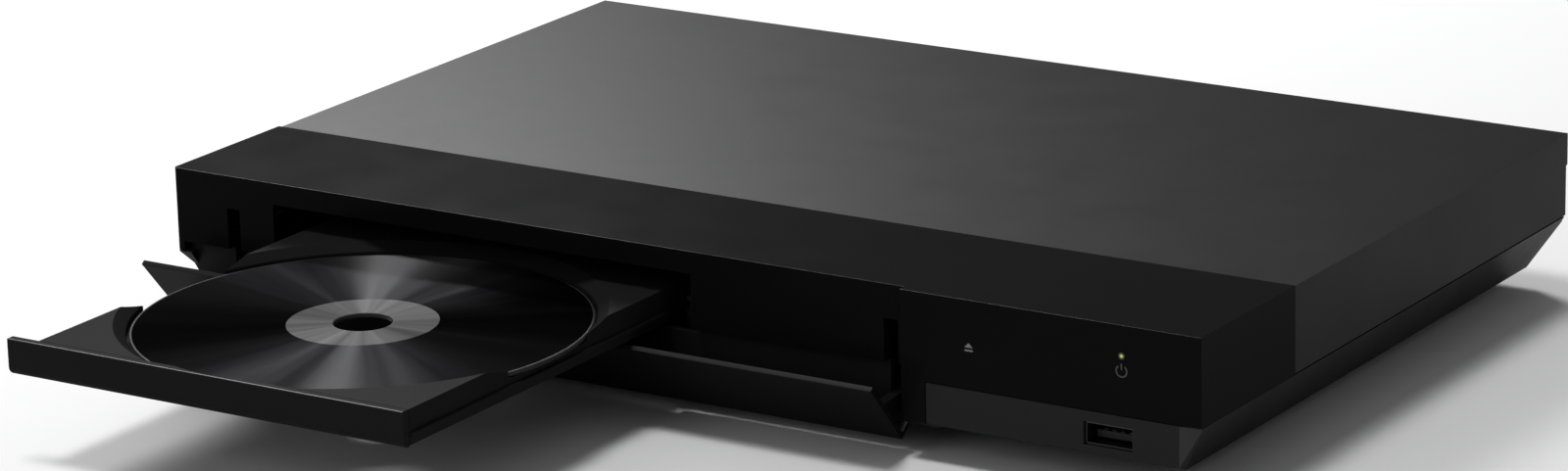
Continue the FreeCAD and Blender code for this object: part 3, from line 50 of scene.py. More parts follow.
def newMaterial(name, colour, roughness, metallic=0.0):
    material = bpy.data.materials.new(name)
    material.use_nodes = True
    shader = material.node_tree.nodes["Principled BSDF"]
    shader.inputs["Base Color"].default_value = (*colour, 1)
    shader.inputs["Roughness"].default_value = roughness
    shader.inputs["Metallic"].default_value = metallic
    return material, material.node_tree, shader


def addNoise(tree, size, detail=3.0, stretch=(1, 1, 1), source="Object"):
    # noise whose features are about size across, in units of its source
    coords = tree.nodes.new("ShaderNodeTexCoord")
    mapping = tree.nodes.new("ShaderNodeMapping")
    noise = tree.nodes.new("ShaderNodeTexNoise")
    mapping.inputs["Scale"].default_value = [s / size for s in stretch]
    noise.inputs["Scale"].default_value = 1
    noise.inputs["Detail"].default_value = detail
    tree.links.new(coords.outputs[source], mapping.inputs["Vector"])
    tree.links.new(mapping.outputs["Vector"], noise.inputs["Vector"])
    return noise.outputs["Fac"]


def remap(tree, value, low, high, fromLow=0.3, fromHigh=0.7):
    # noise keeps mostly between 0.3 and 0.7
    node = tree.nodes.new("ShaderNodeMapRange")
    node.inputs["From Min"].default_value = fromLow
    node.inputs["From Max"].default_value = fromHigh
    node.inputs["To Min"].default_value = low
    node.inputs["To Max"].default_value = high
    tree.links.new(value, node.inputs["Value"])
    return node.outputs["Result"]


def blendColours(tree, factor, first, second):
    mix = tree.nodes.new("ShaderNodeMix")
    mix.data_type = "RGBA"
    mix.inputs["A"].default_value = (*first, 1)
    mix.inputs["B"].default_value = (*second, 1)
    tree.links.new(factor, mix.inputs["Factor"])
    return mix.outputs["Result"]


def addBump(tree, shader, height, distance):
    bump = tree.nodes.new("ShaderNodeBump")
    bump.inputs["Distance"].default_value = distance
    tree.links.new(height, bump.inputs["Height"])
    tree.links.new(bump.outputs["Normal"], shader.inputs["Normal"])


mouldedSettings = {"toneSize": 60 * mm, "markSize": 22 * mm}
metalSettings = {"grain": 0.4 * mm, "depth": 0.004 * mm, "smoothest": 0.8, "roughest": 1.25, "dark": 0.88}
ribbonSettings = {
    "sleeve": (0.8, 0.8, 0.8), "line": (0.5, 0.52, 0.56), "roughness": 0.4, "pitch": 1 * mm,
    "lineEdge": (0.55, 0.75), "depth": 0.03 * mm,
}
boardSettings = {
    "mask": (0.012, 0.11, 0.045), "trace": (0.03, 0.22, 0.09), "laminate": (0.55, 0.5, 0.36),
    "roughness": 0.32, "trackScale": 220, "trackGap": 0.035, "trackLong": 1.7, "trackHigh": 0.32,
    "trackShift": 0.37, "padScale": 240, "padEdge": (0.09, 0.13), "areaSize": 14 * mm,
    "areaEdge": (0.42, 0.5), "depth": 0.03 * mm,
}


def moulded(name, colour, roughness, grain=0.6 * mm, depth=0.004 * mm, spread=0.08, shine=0.5, ior=1.45,
            drift=0.05):
    # plastic or paint: a fine surface grain, slow drifts of tone and faint handling marks
    material, tree, shader = newMaterial(name, colour, roughness)
    shader.inputs["Specular IOR Level"].default_value = shine
    shader.inputs["IOR"].default_value = ior
    tone = remap(tree, addNoise(tree, mouldedSettings["toneSize"], 2), 0, 1)
    lighter = [min(1, c * (1 + drift)) for c in colour]
    darker = [c * (1 - drift) for c in colour]
    tree.links.new(blendColours(tree, tone, darker, lighter), shader.inputs["Base Color"])
    marks = addNoise(tree, mouldedSettings["markSize"], 5)
    rough = remap(tree, marks, roughness * (1 - spread), roughness * (1 + spread))
    tree.links.new(rough, shader.inputs["Roughness"])
    addBump(tree, shader, addNoise(tree, grain, 2), depth)
    return material


def metal(name, colour, roughness, stretch=(1, 1, 1)):
    # bare or plated metal with drawn or rolled lines
    material, tree, shader = newMaterial(name, colour, roughness, 1.0)
    lines = addNoise(tree, metalSettings["grain"], 3, stretch)
    rough = remap(tree, lines, roughness * metalSettings["smoothest"], roughness * metalSettings["roughest"])
    tree.links.new(rough, shader.inputs["Roughness"])
    dark = [c * metalSettings["dark"] for c in colour]
    tree.links.new(blendColours(tree, remap(tree, lines, 0, 1), dark, colour), shader.inputs["Base Color"])
    addBump(tree, shader, lines, metalSettings["depth"])
    return material


def striped(name, axis):
    # a flat cable: parallel lines across one axis, as its conductors show through the sleeve
    sleeve, line = ribbonSettings["sleeve"], ribbonSettings["line"]
    material, tree, shader = newMaterial(name, sleeve, ribbonSettings["roughness"])
    coords = tree.nodes.new("ShaderNodeTexCoord")
    wave = tree.nodes.new("ShaderNodeTexWave")
    wave.bands_direction = axis
    wave.inputs["Scale"].default_value = math.tau / 20 / ribbonSettings["pitch"]  # a wave is tau / 20 long
    tree.links.new(coords.outputs["Object"], wave.inputs["Vector"])
    lines = remap(tree, wave.outputs["Fac"], 0, 1, *ribbonSettings["lineEdge"])
    tree.links.new(blendColours(tree, lines, sleeve, line), shader.inputs["Base Color"])
    addBump(tree, shader, wave.outputs["Fac"], ribbonSettings["depth"])
    return material


def circuitBoard(name):
    # solder mask over copper tracks, with the bare laminate showing at tiny pads
    material, tree, shader = newMaterial(name, boardSettings["mask"], boardSettings["roughness"])
    coords = tree.nodes.new("ShaderNodeTexCoord")
    tracks = tree.nodes.new("ShaderNodeTexBrick")
    tracks.inputs["Scale"].default_value = boardSettings["trackScale"]
    tracks.inputs["Mortar Size"].default_value = boardSettings["trackGap"]
    tracks.inputs["Brick Width"].default_value = boardSettings["trackLong"]
    tracks.inputs["Row Height"].default_value = boardSettings["trackHigh"]
    tracks.offset = boardSettings["trackShift"]
    tree.links.new(coords.outputs["Object"], tracks.inputs["Vector"])
    pads = tree.nodes.new("ShaderNodeTexVoronoi")
    pads.inputs["Scale"].default_value = boardSettings["padScale"]
    tree.links.new(coords.outputs["Object"], pads.inputs["Vector"])
    area = remap(tree, addNoise(tree, boardSettings["areaSize"], 2), 0, 1, *boardSettings["areaEdge"])
    gate = tree.nodes.new("ShaderNodeMath")
    gate.operation = "MULTIPLY"
    tree.links.new(tracks.outputs["Fac"], gate.inputs[0])
    tree.links.new(area, gate.inputs[1])
    toned = blendColours(tree, gate.outputs["Value"], boardSettings["mask"], boardSettings["trace"])
    dots = remap(tree, pads.outputs["Distance"], 1, 0, *boardSettings["padEdge"])
    mix = tree.nodes.new("ShaderNodeMix")
    mix.data_type = "RGBA"
    mix.inputs["B"].default_value = (*boardSettings["laminate"], 1)
    tree.links.new(toned, mix.inputs["A"])
    tree.links.new(dots, mix.inputs["Factor"])
    tree.links.new(mix.outputs["Result"], shader.inputs["Base Color"])
    addBump(tree, shader, gate.outputs["Value"], boardSettings["depth"])
    return material


gloss = moulded("bezelGloss", (0.0058, 0.0058, 0.0062), 0.18, 4 * mm, 0.0015 * mm, ior=1.06)
flapGloss = moulded("flapGloss", (0.008, 0.008, 0.0085), 0.2, 4 * mm, 0.0015 * mm, ior=1.06)
bandMatte = moulded("bandMatte", (0.018, 0.018, 0.019), 0.5, 0.35 * mm, 0.006 * mm, 0.1, ior=1.18)
coverPaint = moulded("coverPaint", (0.0095, 0.0095, 0.0102), 0.4, 0.3 * mm, 0.003 * mm, 0.06, ior=1.15,
                     drift=0.04)
edgeGloss = moulded("edgeGloss", (0.008, 0.008, 0.0085), 0.45, 0.5 * mm, 0.001 * mm, ior=1.35)
# painted highlight: the band's matte at twice its colour, for the corner facet that catches the light
facetPaintedHighlight = moulded("facetPaintedHighlight", (0.036, 0.036, 0.037), 0.45, 0.35 * mm, 0.006 * mm, 0.1, ior=1.25)
panPaint = moulded("panPaint", (0.013, 0.013, 0.0138), 0.48, 0.35 * mm, 0.006 * mm, 0.1, ior=1.18)
traySatin = moulded("traySatin", (0.0145, 0.0145, 0.0152), 0.34, 0.4 * mm, 0.003 * mm, ior=1.03)
frameBlack = moulded("frameBlack", (0.04, 0.04, 0.04), 0.5, shine=0.3)
gearWhite = moulded("gearWhite", (0.8, 0.79, 0.74), 0.4, 0.8 * mm, 0.01 * mm)
blackPart = moulded("blackPart", (0.02, 0.02, 0.02), 0.45, shine=0.3)
footRubber = moulded("footRubber", (0.014, 0.014, 0.014), 0.75, 0.25 * mm, 0.03 * mm, shine=0.3)
beltRubber = moulded("beltRubber", (0.012, 0.012, 0.012), 0.65, 0.25 * mm, 0.02 * mm)
padFoam = moulded("padFoam", (0.25, 0.25, 0.25), 0.85, 0.5 * mm, 0.08 * mm)
boardGreen = circuitBoard("boardGreen")
chipBlack = moulded("chipBlack", (0.02, 0.02, 0.021), 0.5, 0.3 * mm, 0.01 * mm)
frontRibbon = striped("frontRibbon", "X")
driveRibbon = striped("driveRibbon", "Y")
leadGrey = moulded("leadGrey", (0.6, 0.6, 0.58), 0.45, 1 * mm, 0.01 * mm)
tapeYellow = moulded("tapeYellow", (0.7, 0.5, 0.06), 0.35, 2 * mm, 0.03 * mm, 0.15)
ferrite = moulded("ferrite", (0.05, 0.048, 0.046), 0.6, 0.3 * mm, 0.02 * mm)
socketOrange = moulded("socketOrange", (0.7, 0.2, 0.03), 0.4)
zincPlate = metal("zincPlate", (0.6, 0.6, 0.61), 0.32)
polishedSteel = metal("polishedSteel", (0.7, 0.7, 0.71), 0.18, (1, 0.05, 1))
motorCan = metal("motorCan", (0.55, 0.55, 0.56), 0.3, (1, 1, 6))
shellNickel = metal("shellNickel", (0.6, 0.6, 0.61), 0.24, (1, 0.2, 1))
portSteel = metal("portSteel", (0.07, 0.07, 0.073), 0.42, (1, 0.2, 1))
sinkMetal = metal("sinkMetal", (0.65, 0.65, 0.67), 0.4, (1, 0.1, 1))
goldContact = metal("goldContact", (0.85, 0.62, 0.25), 0.25)
markWhite = moulded("markWhite", (0.19, 0.19, 0.19), 0.5, 0.5 * mm, 0.002 * mm)
markGrey = moulded("markGrey", (0.045, 0.045, 0.045), 0.5, 0.5 * mm, 0.002 * mm)
lensGlass = moulded("lensGlass", (0.06, 0.03, 0.09), 0.06, 2 * mm, 0.001 * mm)
print("materials made")


def paint(node, material):
    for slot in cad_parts[node].material_slots:
        slot.material = material
    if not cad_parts[node].material_slots:
        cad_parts[node].data.materials.append(material)


# every node but indicator_lens, which gets the glow of the lamp further down
nodeFinishes = {
    "front_bezel": gloss, "lower_fascia": bandMatte, "base_pan": panPaint, "rear_panel": panPaint,
    "top_cover": coverPaint, "rubber_feet": footRubber, "cover_screws": zincPlate, "front_flap": flapGloss,
    "flap_brackets": zincPlate, "flap_hinge_pins": polishedSteel, "flap_springs": polishedSteel,
    "touch_board": boardGreen, "touch_pads": padFoam, "usb_socket": portSteel, "usb_board": boardGreen,
    "loader_frame": frameBlack, "clamp_bridge": zincPlate, "clamp_puck": blackPart,
    "loader_screws": zincPlate, "tray": traySatin, "tray_front": traySatin, "disc": gloss,
    "rack_gear": gearWhite, "pulley_gear": gearWhite, "motor_pulley": gearWhite, "loading_motor": motorCan,
    "drive_belt": beltRubber, "lift_cam": gearWhite, "traverse_chassis": frameBlack,
    "spindle_motor": motorCan, "turntable": blackPart, "pickup": sinkMetal, "pickup_lens": lensGlass,
    "guide_rods": polishedSteel, "sled_gear": gearWhite, "sled_pinion": gearWhite, "sled_motor": motorCan,
    "board_standoffs": zincPlate, "board_screws": zincPlate, "main_board": boardGreen,
    "power_board": boardGreen, "board_chips": chipBlack, "main_heatsink": sinkMetal,
    "board_capacitors": chipBlack, "hdmi_socket": shellNickel, "lan_socket": shellNickel,
    "coax_socket": socketOrange, "ac_inlet": blackPart, "transformer": tapeYellow,
    "bulk_capacitor": chipBlack, "front_ribbon": frontRibbon, "drive_ribbon": driveRibbon,
    "power_harness": leadGrey,
}
for node, material in nodeFinishes.items():
    paint(node, material)


# what the pieces are made with

def ends(node):
    # the low and the high corner of a node's box
    return [Vector(corner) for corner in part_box(node)]


def middle(node):
    low, high = ends(node)
    return (low + high) / 2


def meshOf(name, build):
    mesh = bpy.data.meshes.new(name)
    build.to_mesh(mesh)
    build.free()
    return mesh


def linked(name, data):
    thing = bpy.data.objects.new(name, data)
    bpy.context.scene.collection.objects.link(thing)
    return thing


def addBox(build, place, size, turn=Matrix.Identity(4)):
    matrix = Matrix.Translation(place) @ turn @ Matrix.Diagonal((*size, 1))
    return bmesh.ops.create_cube(build, size=1, matrix=matrix)


def roundEdges(build, edges, width, segments=1):
    bmesh.ops.bevel(build, geom=edges, offset=width, offset_type="OFFSET", segments=segments, profile=0.5,
                    affect="EDGES", clamp_overlap=True, material=-1)


def finished(name, build, materials, body, node=None):
    # make a piece from a bmesh, let it ride on its body and, where asked, stand for its node
    piece = linked(name, meshOf(name, build))
    for material in materials:
        piece.data.materials.append(material)
    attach(piece, body)
    if node:
        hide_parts(node)
    return piece


def weighted(piece):
    # keep broad faces flat and let the rounded edges carry the change of direction
    modifier = piece.modifiers.new("weighted", "WEIGHTED_NORMAL")
    modifier.keep_sharp = True
    modifier.weight = 100


# angles in degrees: of faces that join into one, of an edge that gets rounded and of one that shades as sharp
copySettings = {"gap": 0.003 * mm, "flat": 0.4, "rounded": 28, "sharp": 40}
upward = 0.9  # a face whose normal rises more than this looks up


def mergedCopy(node):
    # a node's triangles joined into one skin of broad faces
    gap = copySettings["gap"]
    build = bmesh.new()
    build.from_mesh(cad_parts[node].data)
    bmesh.ops.remove_doubles(build, verts=build.verts, dist=gap)
    bmesh.ops.dissolve_degenerate(build, dist=gap, edges=build.edges)
    bmesh.ops.dissolve_limit(build, angle_limit=math.radians(copySettings["flat"]), verts=build.verts,
                             edges=build.edges)
    return build


def softened(node, body, material, width, segments=2, zones=()):
    # a copy of a solid with its edges rounded, standing for it; zones give some of its faces another finish
    build = mergedCopy(node)
    if width:
        bend = math.radians(copySettings["rounded"])
        corners = [e for e in build.edges if len(e.link_faces) == 2 and e.calc_face_angle(0) > bend]
        roundEdges(build, corners, width, segments)
    build.normal_update()
    for face in build.faces:
        face.smooth = True
        spot = face.calc_center_median()
        for index, (other, test) in enumerate(zones, start=1):
            if test(spot, face.normal):
                face.material_index = index
    bend = math.radians(copySettings["sharp"])
    for edge in build.edges:
        edge.smooth = len(edge.link_faces) != 2 or edge.calc_face_angle(0) < bend
    materials = [material, *[other for other, test in zones]]
    piece = finished(node + "_finish", build, materials, body, node)
    weighted(piece)
    print(node, "rounded,", len(piece.data.polygons), "faces")
    return piece


# moulded edges that catch the light: the upper front edges and the flap's free edge; the fascia's facet gets
# a painted highlight, the band's finish at twice its colour
catchSettings = {
    "slope": 0.25, "flapLean": (0, -0.656, 0.755), "match": 0.9, "facetWide": 7 * mm, "ahead": 0.5,
    "turned": (0.1, 0.9),
}
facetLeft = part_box("lower_fascia")[1][0] - catchSettings["facetWide"]


def onFrontEdge(spot, normal):
    return normal.y < -catchSettings["slope"] and normal.z > catchSettings["slope"]


def onFreeEdge(spot, normal):
    return normal.dot(Vector(catchSettings["flapLean"])) > catchSettings["match"]


def onFacet(spot, normal):
    least, most = catchSettings["turned"]
    return spot.x > facetLeft and normal.y < -catchSettings["ahead"] and least < normal.x < most


edgeSettings = {
    "front_bezel": ("case", gloss, 0.2 * mm, [(edgeGloss, onFrontEdge)]),
    "top_cover": ("case", coverPaint, 0.2 * mm, []),
    "base_pan": ("case", panPaint, 0.2 * mm, []),
    "lower_fascia": ("case", bandMatte, 0.25 * mm, [(facetPaintedHighlight, onFacet)]),
    "front_flap": ("flap", flapGloss, 0.2 * mm, [(edgeGloss, onFreeEdge)]),
    "tray": ("tray", traySatin, 0.25 * mm, []),
    "tray_front": ("tray", traySatin, 0.25 * mm, [(edgeGloss, onFrontEdge)]),
    "rubber_feet": ("case", footRubber, 0.8 * mm, []),
}
for node, (body, material, width, zones) in edgeSettings.items():
    softened(node, body, material, width, zones=zones)


# the disc: dark coated face with fine rings, bright foil ring round the hub, clear rim
discSettings = {
    "radius": 60 * mm, "hole": 7.5 * mm, "hubEdge": 19.8 * mm, "stackEdge": 10.6 * mm, "rimWide": 0.75 * mm,
    "round": 0.3 * mm, "steps": 144, "gap": 0.002 * mm, "sharp": 30,
}
foilSettings = {
    "discFace": {
        "roughness": 0.37, "anisotropy": 1.0, "low": (0.05, 0.05, 0.052), "high": (0.088, 0.088, 0.09),
        "edgeTint": 0.0,
    },
    "hubFoil": {
        "roughness": 0.5, "anisotropy": 0.6, "low": (0.06, 0.06, 0.06), "high": (0.095, 0.095, 0.095),
        "edgeTint": 0.3,
    },
}
foilMetallic = 0.985  # the rest is a little matt light in the dark parts
foilTurn = 0.25  # a quarter turn sets the gloss across the rings
foilStreaks = (22, 0.3, 1)  # many tones round the disc, few from hub to rim


def ringedFoil(name, roughness, anisotropy, low, high, edgeTint):
    # a surface of fine rings round the disc's centre, read from its own map: across is turn, up is radius
    material, tree, shader = newMaterial(name, low, roughness, foilMetallic)
    shader.inputs["Specular Tint"].default_value = (edgeTint, edgeTint, edgeTint, 1)
    shader.inputs["Anisotropic"].default_value = anisotropy
    shader.inputs["Anisotropic Rotation"].default_value = foilTurn
    tangent = tree.nodes.new("ShaderNodeTangent")
    tangent.direction_type = "UV_MAP"
    tree.links.new(tangent.outputs["Tangent"], shader.inputs["Tangent"])
    tone = remap(tree, addNoise(tree, 1, 2, foilStreaks, "UV"), 0, 1)
    tree.links.new(blendColours(tree, tone, low, high), shader.inputs["Base Color"])
    return material


discFace, hubFoil = (ringedFoil(name, **settings) for name, settings in foilSettings.items())
clearRim = moulded("clearRim", (0.03, 0.03, 0.031), 0.2, 2 * mm, 0.001 * mm, 0.05, ior=1.12)

discLow, discHigh = ends("disc")
discMiddle = (discLow + discHigh) / 2
top, base = discHigh.z, discLow.z
hole, radius, edge = discSettings["hole"], discSettings["radius"], discSettings["round"]
stackEdge, hubEdge = discSettings["stackEdge"], discSettings["hubEdge"]
rimEdge = radius - discSettings["rimWide"]
outline = [(hole, base + edge), (hole, top - edge), (hole + edge, top), (stackEdge, top), (hubEdge, top),
           (rimEdge, top), (radius - edge, top), (radius, top - edge), (radius, base + edge),
           (radius - edge, base), (hole + edge, base)]
build = bmesh.new()
corners = [build.verts.new((discMiddle.x + x, discMiddle.y, z)) for x, z in outline]
edges = [build.edges.new((corners[i], corners[(i + 1) % len(corners)])) for i in range(len(corners))]
bmesh.ops.spin(build, geom=corners + edges, cent=(discMiddle.x, discMiddle.y, 0), axis=(0, 0, 1),
               angle=math.tau, steps=discSettings["steps"], use_merge=True)
bmesh.ops.remove_doubles(build, verts=build.verts, dist=discSettings["gap"])
bmesh.ops.recalc_face_normals(build, faces=build.faces)
layer = build.loops.layers.uv.new("around")
for face in build.faces:
    spot = face.calc_center_median() - discMiddle
    turn = math.atan2(spot.y, spot.x)
    reach = math.hypot(spot.x, spot.y)
    face.smooth = True
    if reach > rimEdge or reach < hole + edge:
        face.material_index = 2
    elif reach < hubEdge:
        face.material_index = 1
    for loop in face.loops:
        point = loop.vert.co - discMiddle
        around = math.atan2(point.y, point.x)
        around += math.tau * round((turn - around) / math.tau)  # one face never spans the map's seam
        loop[layer].uv = (around / math.tau + 0.5, math.hypot(point.x, point.y) / radius)
bend = math.radians(discSettings["sharp"])
for rim in build.edges:
    rim.smooth = len(rim.link_faces) == 2 and rim.calc_face_angle(0) < bend
discPiece = finished("disc_finish", build, [discFace, hubFoil, clearRim], "disc", "disc")
weighted(discPiece)
print("disc made")

# marks printed on the front: a ring with a gap and a bar, a bar under an arrow
markSettings = {
    "proud": 0.03 * mm, "line": 0.42 * mm, "powerUp": 33.1 * mm, "ring": 1.5 * mm, "gap": 38, "steps": 40,
    "sliver": 0.001 * mm, "merge": 0.0005 * mm, "bar": 1.7 * mm, "barUp": 1.125 * mm, "ejectUp": 32.7 * mm,
    "ejectX": 93.7 * mm, "arrowHalf": 1.2 * mm, "arrowHigh": 1.2 * mm, "arrowTip": 0.03,
    "underHigh": 0.45 * mm, "underGap": 0.55 * mm,
}
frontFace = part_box("front_bezel")[0][1]
proud, line = markSettings["proud"], markSettings["line"]
lampMiddle = middle("indicator_lens")


def flatBar(build, x, z, wide, high):
    # a thin printed bar on the front face
    return addBox(build, (x, frontFace - proud / 2, z), (wide, proud, high))


# the ring is spun from the one face of a sliver that looks along x
build = bmesh.new()
ring, gap = markSettings["ring"], math.radians(markSettings["gap"])
powerX, powerZ = lampMiddle.x, markSettings["powerUp"]
flatBar(build, powerX, powerZ + ring, markSettings["sliver"], line)
bmesh.ops.delete(build, geom=[f for f in build.faces if f.normal.x < 0.5], context="FACES")
bmesh.ops.rotate(build, verts=build.verts, cent=(powerX, 0, powerZ), matrix=Matrix.Rotation(gap, 3, "Y"))
profile = [*build.faces, *build.edges, *build.verts]
bmesh.ops.spin(build, geom=profile, cent=(powerX, 0, powerZ), axis=(0, 1, 0), angle=math.tau - 2 * gap,
               steps=markSettings["steps"])
bmesh.ops.remove_doubles(build, verts=build.verts, dist=markSettings["merge"])
flatBar(build, powerX, powerZ + markSettings["barUp"], line, markSettings["bar"])
bmesh.ops.recalc_face_normals(build, faces=build.faces)
finished("power_mark", build, [markGrey], "case")

build = bmesh.new()
half, arrowHigh, underHigh = (markSettings[key] for key in ("arrowHalf", "arrowHigh", "underHigh"))
ejectX, ejectLow = markSettings["ejectX"], markSettings["ejectUp"] - half
flatBar(build, ejectX, ejectLow + underHigh / 2, 2 * half, underHigh)
arrowMiddle = ejectLow + underHigh + markSettings["underGap"] + arrowHigh / 2
arrow = flatBar(build, ejectX, arrowMiddle, 2 * half, arrowHigh)
upper = [v for v in arrow["verts"] if v.co.z > arrowMiddle]
bmesh.ops.scale(build, verts=upper, vec=(markSettings["arrowTip"], 1, 1),
                space=Matrix.Translation((-ejectX, 0, 0)))
finished("eject_mark", build, [markWhite], "case")

# the lamp's lens, bright in its middle
glowSettings = {
    "bright": (0.36, 0.46, 0.09), "dark": (0.006, 0.009, 0.0005), "from": 0.05 * mm, "to": 0.6 * mm,
    "roughness": 0.25, "strength": 1.0,
}
lampGlow, tree, shader = newMaterial("lampGlow", glowSettings["bright"], glowSettings["roughness"])
coords = tree.nodes.new("ShaderNodeTexCoord")
centring = tree.nodes.new("ShaderNodeMapping")
centring.inputs["Location"].default_value = (-lampMiddle.x, 0, -lampMiddle.z)
centring.inputs["Scale"].default_value = (1, 0, 1)
tree.links.new(coords.outputs["Object"], centring.inputs["Vector"])
distance = tree.nodes.new("ShaderNodeVectorMath")
distance.operation = "LENGTH"
tree.links.new(centring.outputs["Vector"], distance.inputs[0])
fade = remap(tree, distance.outputs["Value"], 0, 1, glowSettings["from"], glowSettings["to"])
glow = blendColours(tree, fade, glowSettings["bright"], glowSettings["dark"])
tree.links.new(glow, shader.inputs["Emission Color"])
tree.links.new(glow, shader.inputs["Base Color"])
shader.inputs["Emission Strength"].default_value = glowSettings["strength"]
paint("indicator_lens", lampGlow)
print("marks made")


# sockets and other parts: the same solids in two finishes
# a tongue is what lies between these distances, in mm, from the low and the high corner of its socket
tongueSettings = {
    "usb_socket": (portSteel, (0.8, 3, 0.7), (0.8, 0.5, 2.2)),
    "hdmi_socket": (shellNickel, (1, 0.6, 1), (1, 1, 1)),
}
barrelFrom = 3.9 * mm
bladeSettings = {"apart": 4.3 * mm, "reach": 1.3 * mm, "behind": 3 * mm, "round": 0.1 * mm}
coreSettings = {
    "legFrom": 10.9 * mm, "postHalf": 5.1 * mm, "postHigh": 17.1 * mm, "footHigh": 4.05 * mm,
    "round": 0.2 * mm,
}
canSettings = {"round": 0.5 * mm, "lid": 0.1 * mm}


def boxTest(low, high):
    return lambda spot, normal: all(a <= c <= b for a, c, b in zip(low, spot, high))


for node, (material, fromLow, fromHigh) in tongueSettings.items():
    low, high = ends(node)
    tongue = boxTest(low + Vector(fromLow) * mm, high - Vector(fromHigh) * mm)
    softened(node, "case", material, 0, zones=[(blackPart, tongue)])

coaxMiddle = middle("coax_socket")
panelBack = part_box("rear_panel")[1][1]
inletMiddle = middle("ac_inlet")
coreMiddle = middle("transformer")
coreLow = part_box("transformer")[0][2]


def onBarrel(spot, normal):
    off = math.hypot(spot.x - coaxMiddle.x, spot.z - coaxMiddle.z)
    return spot.y > panelBack and off > barrelFrom


def onBlade(spot, normal):
    off = math.hypot(abs(spot.x - inletMiddle.x) - bladeSettings["apart"], spot.z - inletMiddle.z)
    return off < bladeSettings["reach"] and spot.y > inletMiddle.y - bladeSettings["behind"]


def onFoot(spot, normal):
    return spot.z < coreLow + coreSettings["footHigh"]


def onCore(spot, normal):
    onLeg = abs(spot.x - coreMiddle.x) > coreSettings["legFrom"]
    inMiddle = abs(spot.y - coreMiddle.y) < coreSettings["postHalf"]
    return onLeg or (inMiddle and spot.z < coreLow + coreSettings["postHigh"])


softened("coax_socket", "case", socketOrange, 0, zones=[(shellNickel, onBarrel)])
softened("ac_inlet", "case", blackPart, bladeSettings["round"], 1, [(shellNickel, onBlade)])
softened("transformer", "case", tapeYellow, coreSettings["round"], 1,
         [(chipBlack, onFoot), (ferrite, onCore)])
for node in ("board_capacitors", "bulk_capacitor"):
    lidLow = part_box(node)[1][2] - canSettings["lid"]
    lid = [(sinkMetal, lambda spot, normal: normal.z > upward and spot.z > lidLow)]
    softened(node, "case", chipBlack, canSettings["round"], 2, lid)

# rows of flat contacts, each in the middle of its socket's width
usbLow, hdmiHigh, netHigh = ends("usb_socket")[0], ends("hdmi_socket")[1], ends("lan_socket")[1]
usbMiddle, hdmiMiddle, netMiddle = (middle(node) for node in ("usb_socket", "hdmi_socket", "lan_socket"))
hdmiLift = 0.64 * mm  # half the tongue and almost half a contact
hdmiRow = {"count": 9, "pitch": 1.0 * mm, "size": (0.4 * mm, 5 * mm, 0.1 * mm)}
hdmiDepth = hdmiHigh.y - 9.5 * mm
contactSettings = {
    "usb_contacts": {
        "count": 4, "pitch": 2.4 * mm, "size": (1 * mm, 7 * mm, 0.12 * mm),
        "place": (usbMiddle.x, usbLow.y + 8 * mm, usbLow.z + 2.75 * mm),
    },
    "hdmi_upper_contacts": {**hdmiRow, "place": (hdmiMiddle.x, hdmiDepth, hdmiMiddle.z + hdmiLift)},
    "hdmi_lower_contacts": {**hdmiRow, "place": (hdmiMiddle.x, hdmiDepth, hdmiMiddle.z - hdmiLift)},
    "lan_contacts": {
        "count": 8, "pitch": 1.1 * mm, "size": (0.4 * mm, 7 * mm, 0.3 * mm),
        "place": (netMiddle.x, netHigh.y - 9 * mm, netHigh.z - 3.34 * mm),
    },
}
contactRound = 0.2  # of a contact's thickness
for name, row in contactSettings.items():
    build = bmesh.new()
    for i in range(row["count"]):
        offset = (i - (row["count"] - 1) / 2) * row["pitch"]
        addBox(build, Vector(row["place"]) + Vector((offset, 0, 0)), row["size"])
    roundEdges(build, list(build.edges), min(row["size"]) * contactRound)
    finished(name, build, [goldContact], "case")
print("sockets made")

# legs along both sides of the narrow chips
legSettings = {"wide": 0.35 * mm, "reach": 1 * mm, "high": 0.8 * mm, "pitch": 1 * mm, "widestChip": 20 * mm}
legSize = (legSettings["reach"], legSettings["wide"], legSettings["high"])
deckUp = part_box("main_board")[1][2]
chips = []
source = mergedCopy("board_chips")
for face in source.faces:
    if face.normal.z > upward:
        points = [v.co for v in face.verts]
        chips.append((min(p.x for p in points), max(p.x for p in points),
                      min(p.y for p in points), max(p.y for p in points)))
source.free()
build = bmesh.new()
for left, right, front, back in chips:
    if right - left > legSettings["widestChip"]:
        continue
    count = int((back - front) / legSettings["pitch"]) - 1
    for i in range(count):
        y = front + (i + 1) * (back - front) / (count + 1)
        for x in (left - legSettings["reach"] / 2, right + legSettings["reach"] / 2):
            addBox(build, (x, y, deckUp + legSettings["high"] / 2), legSize)
finished("chip_legs", build, [shellNickel], "case")

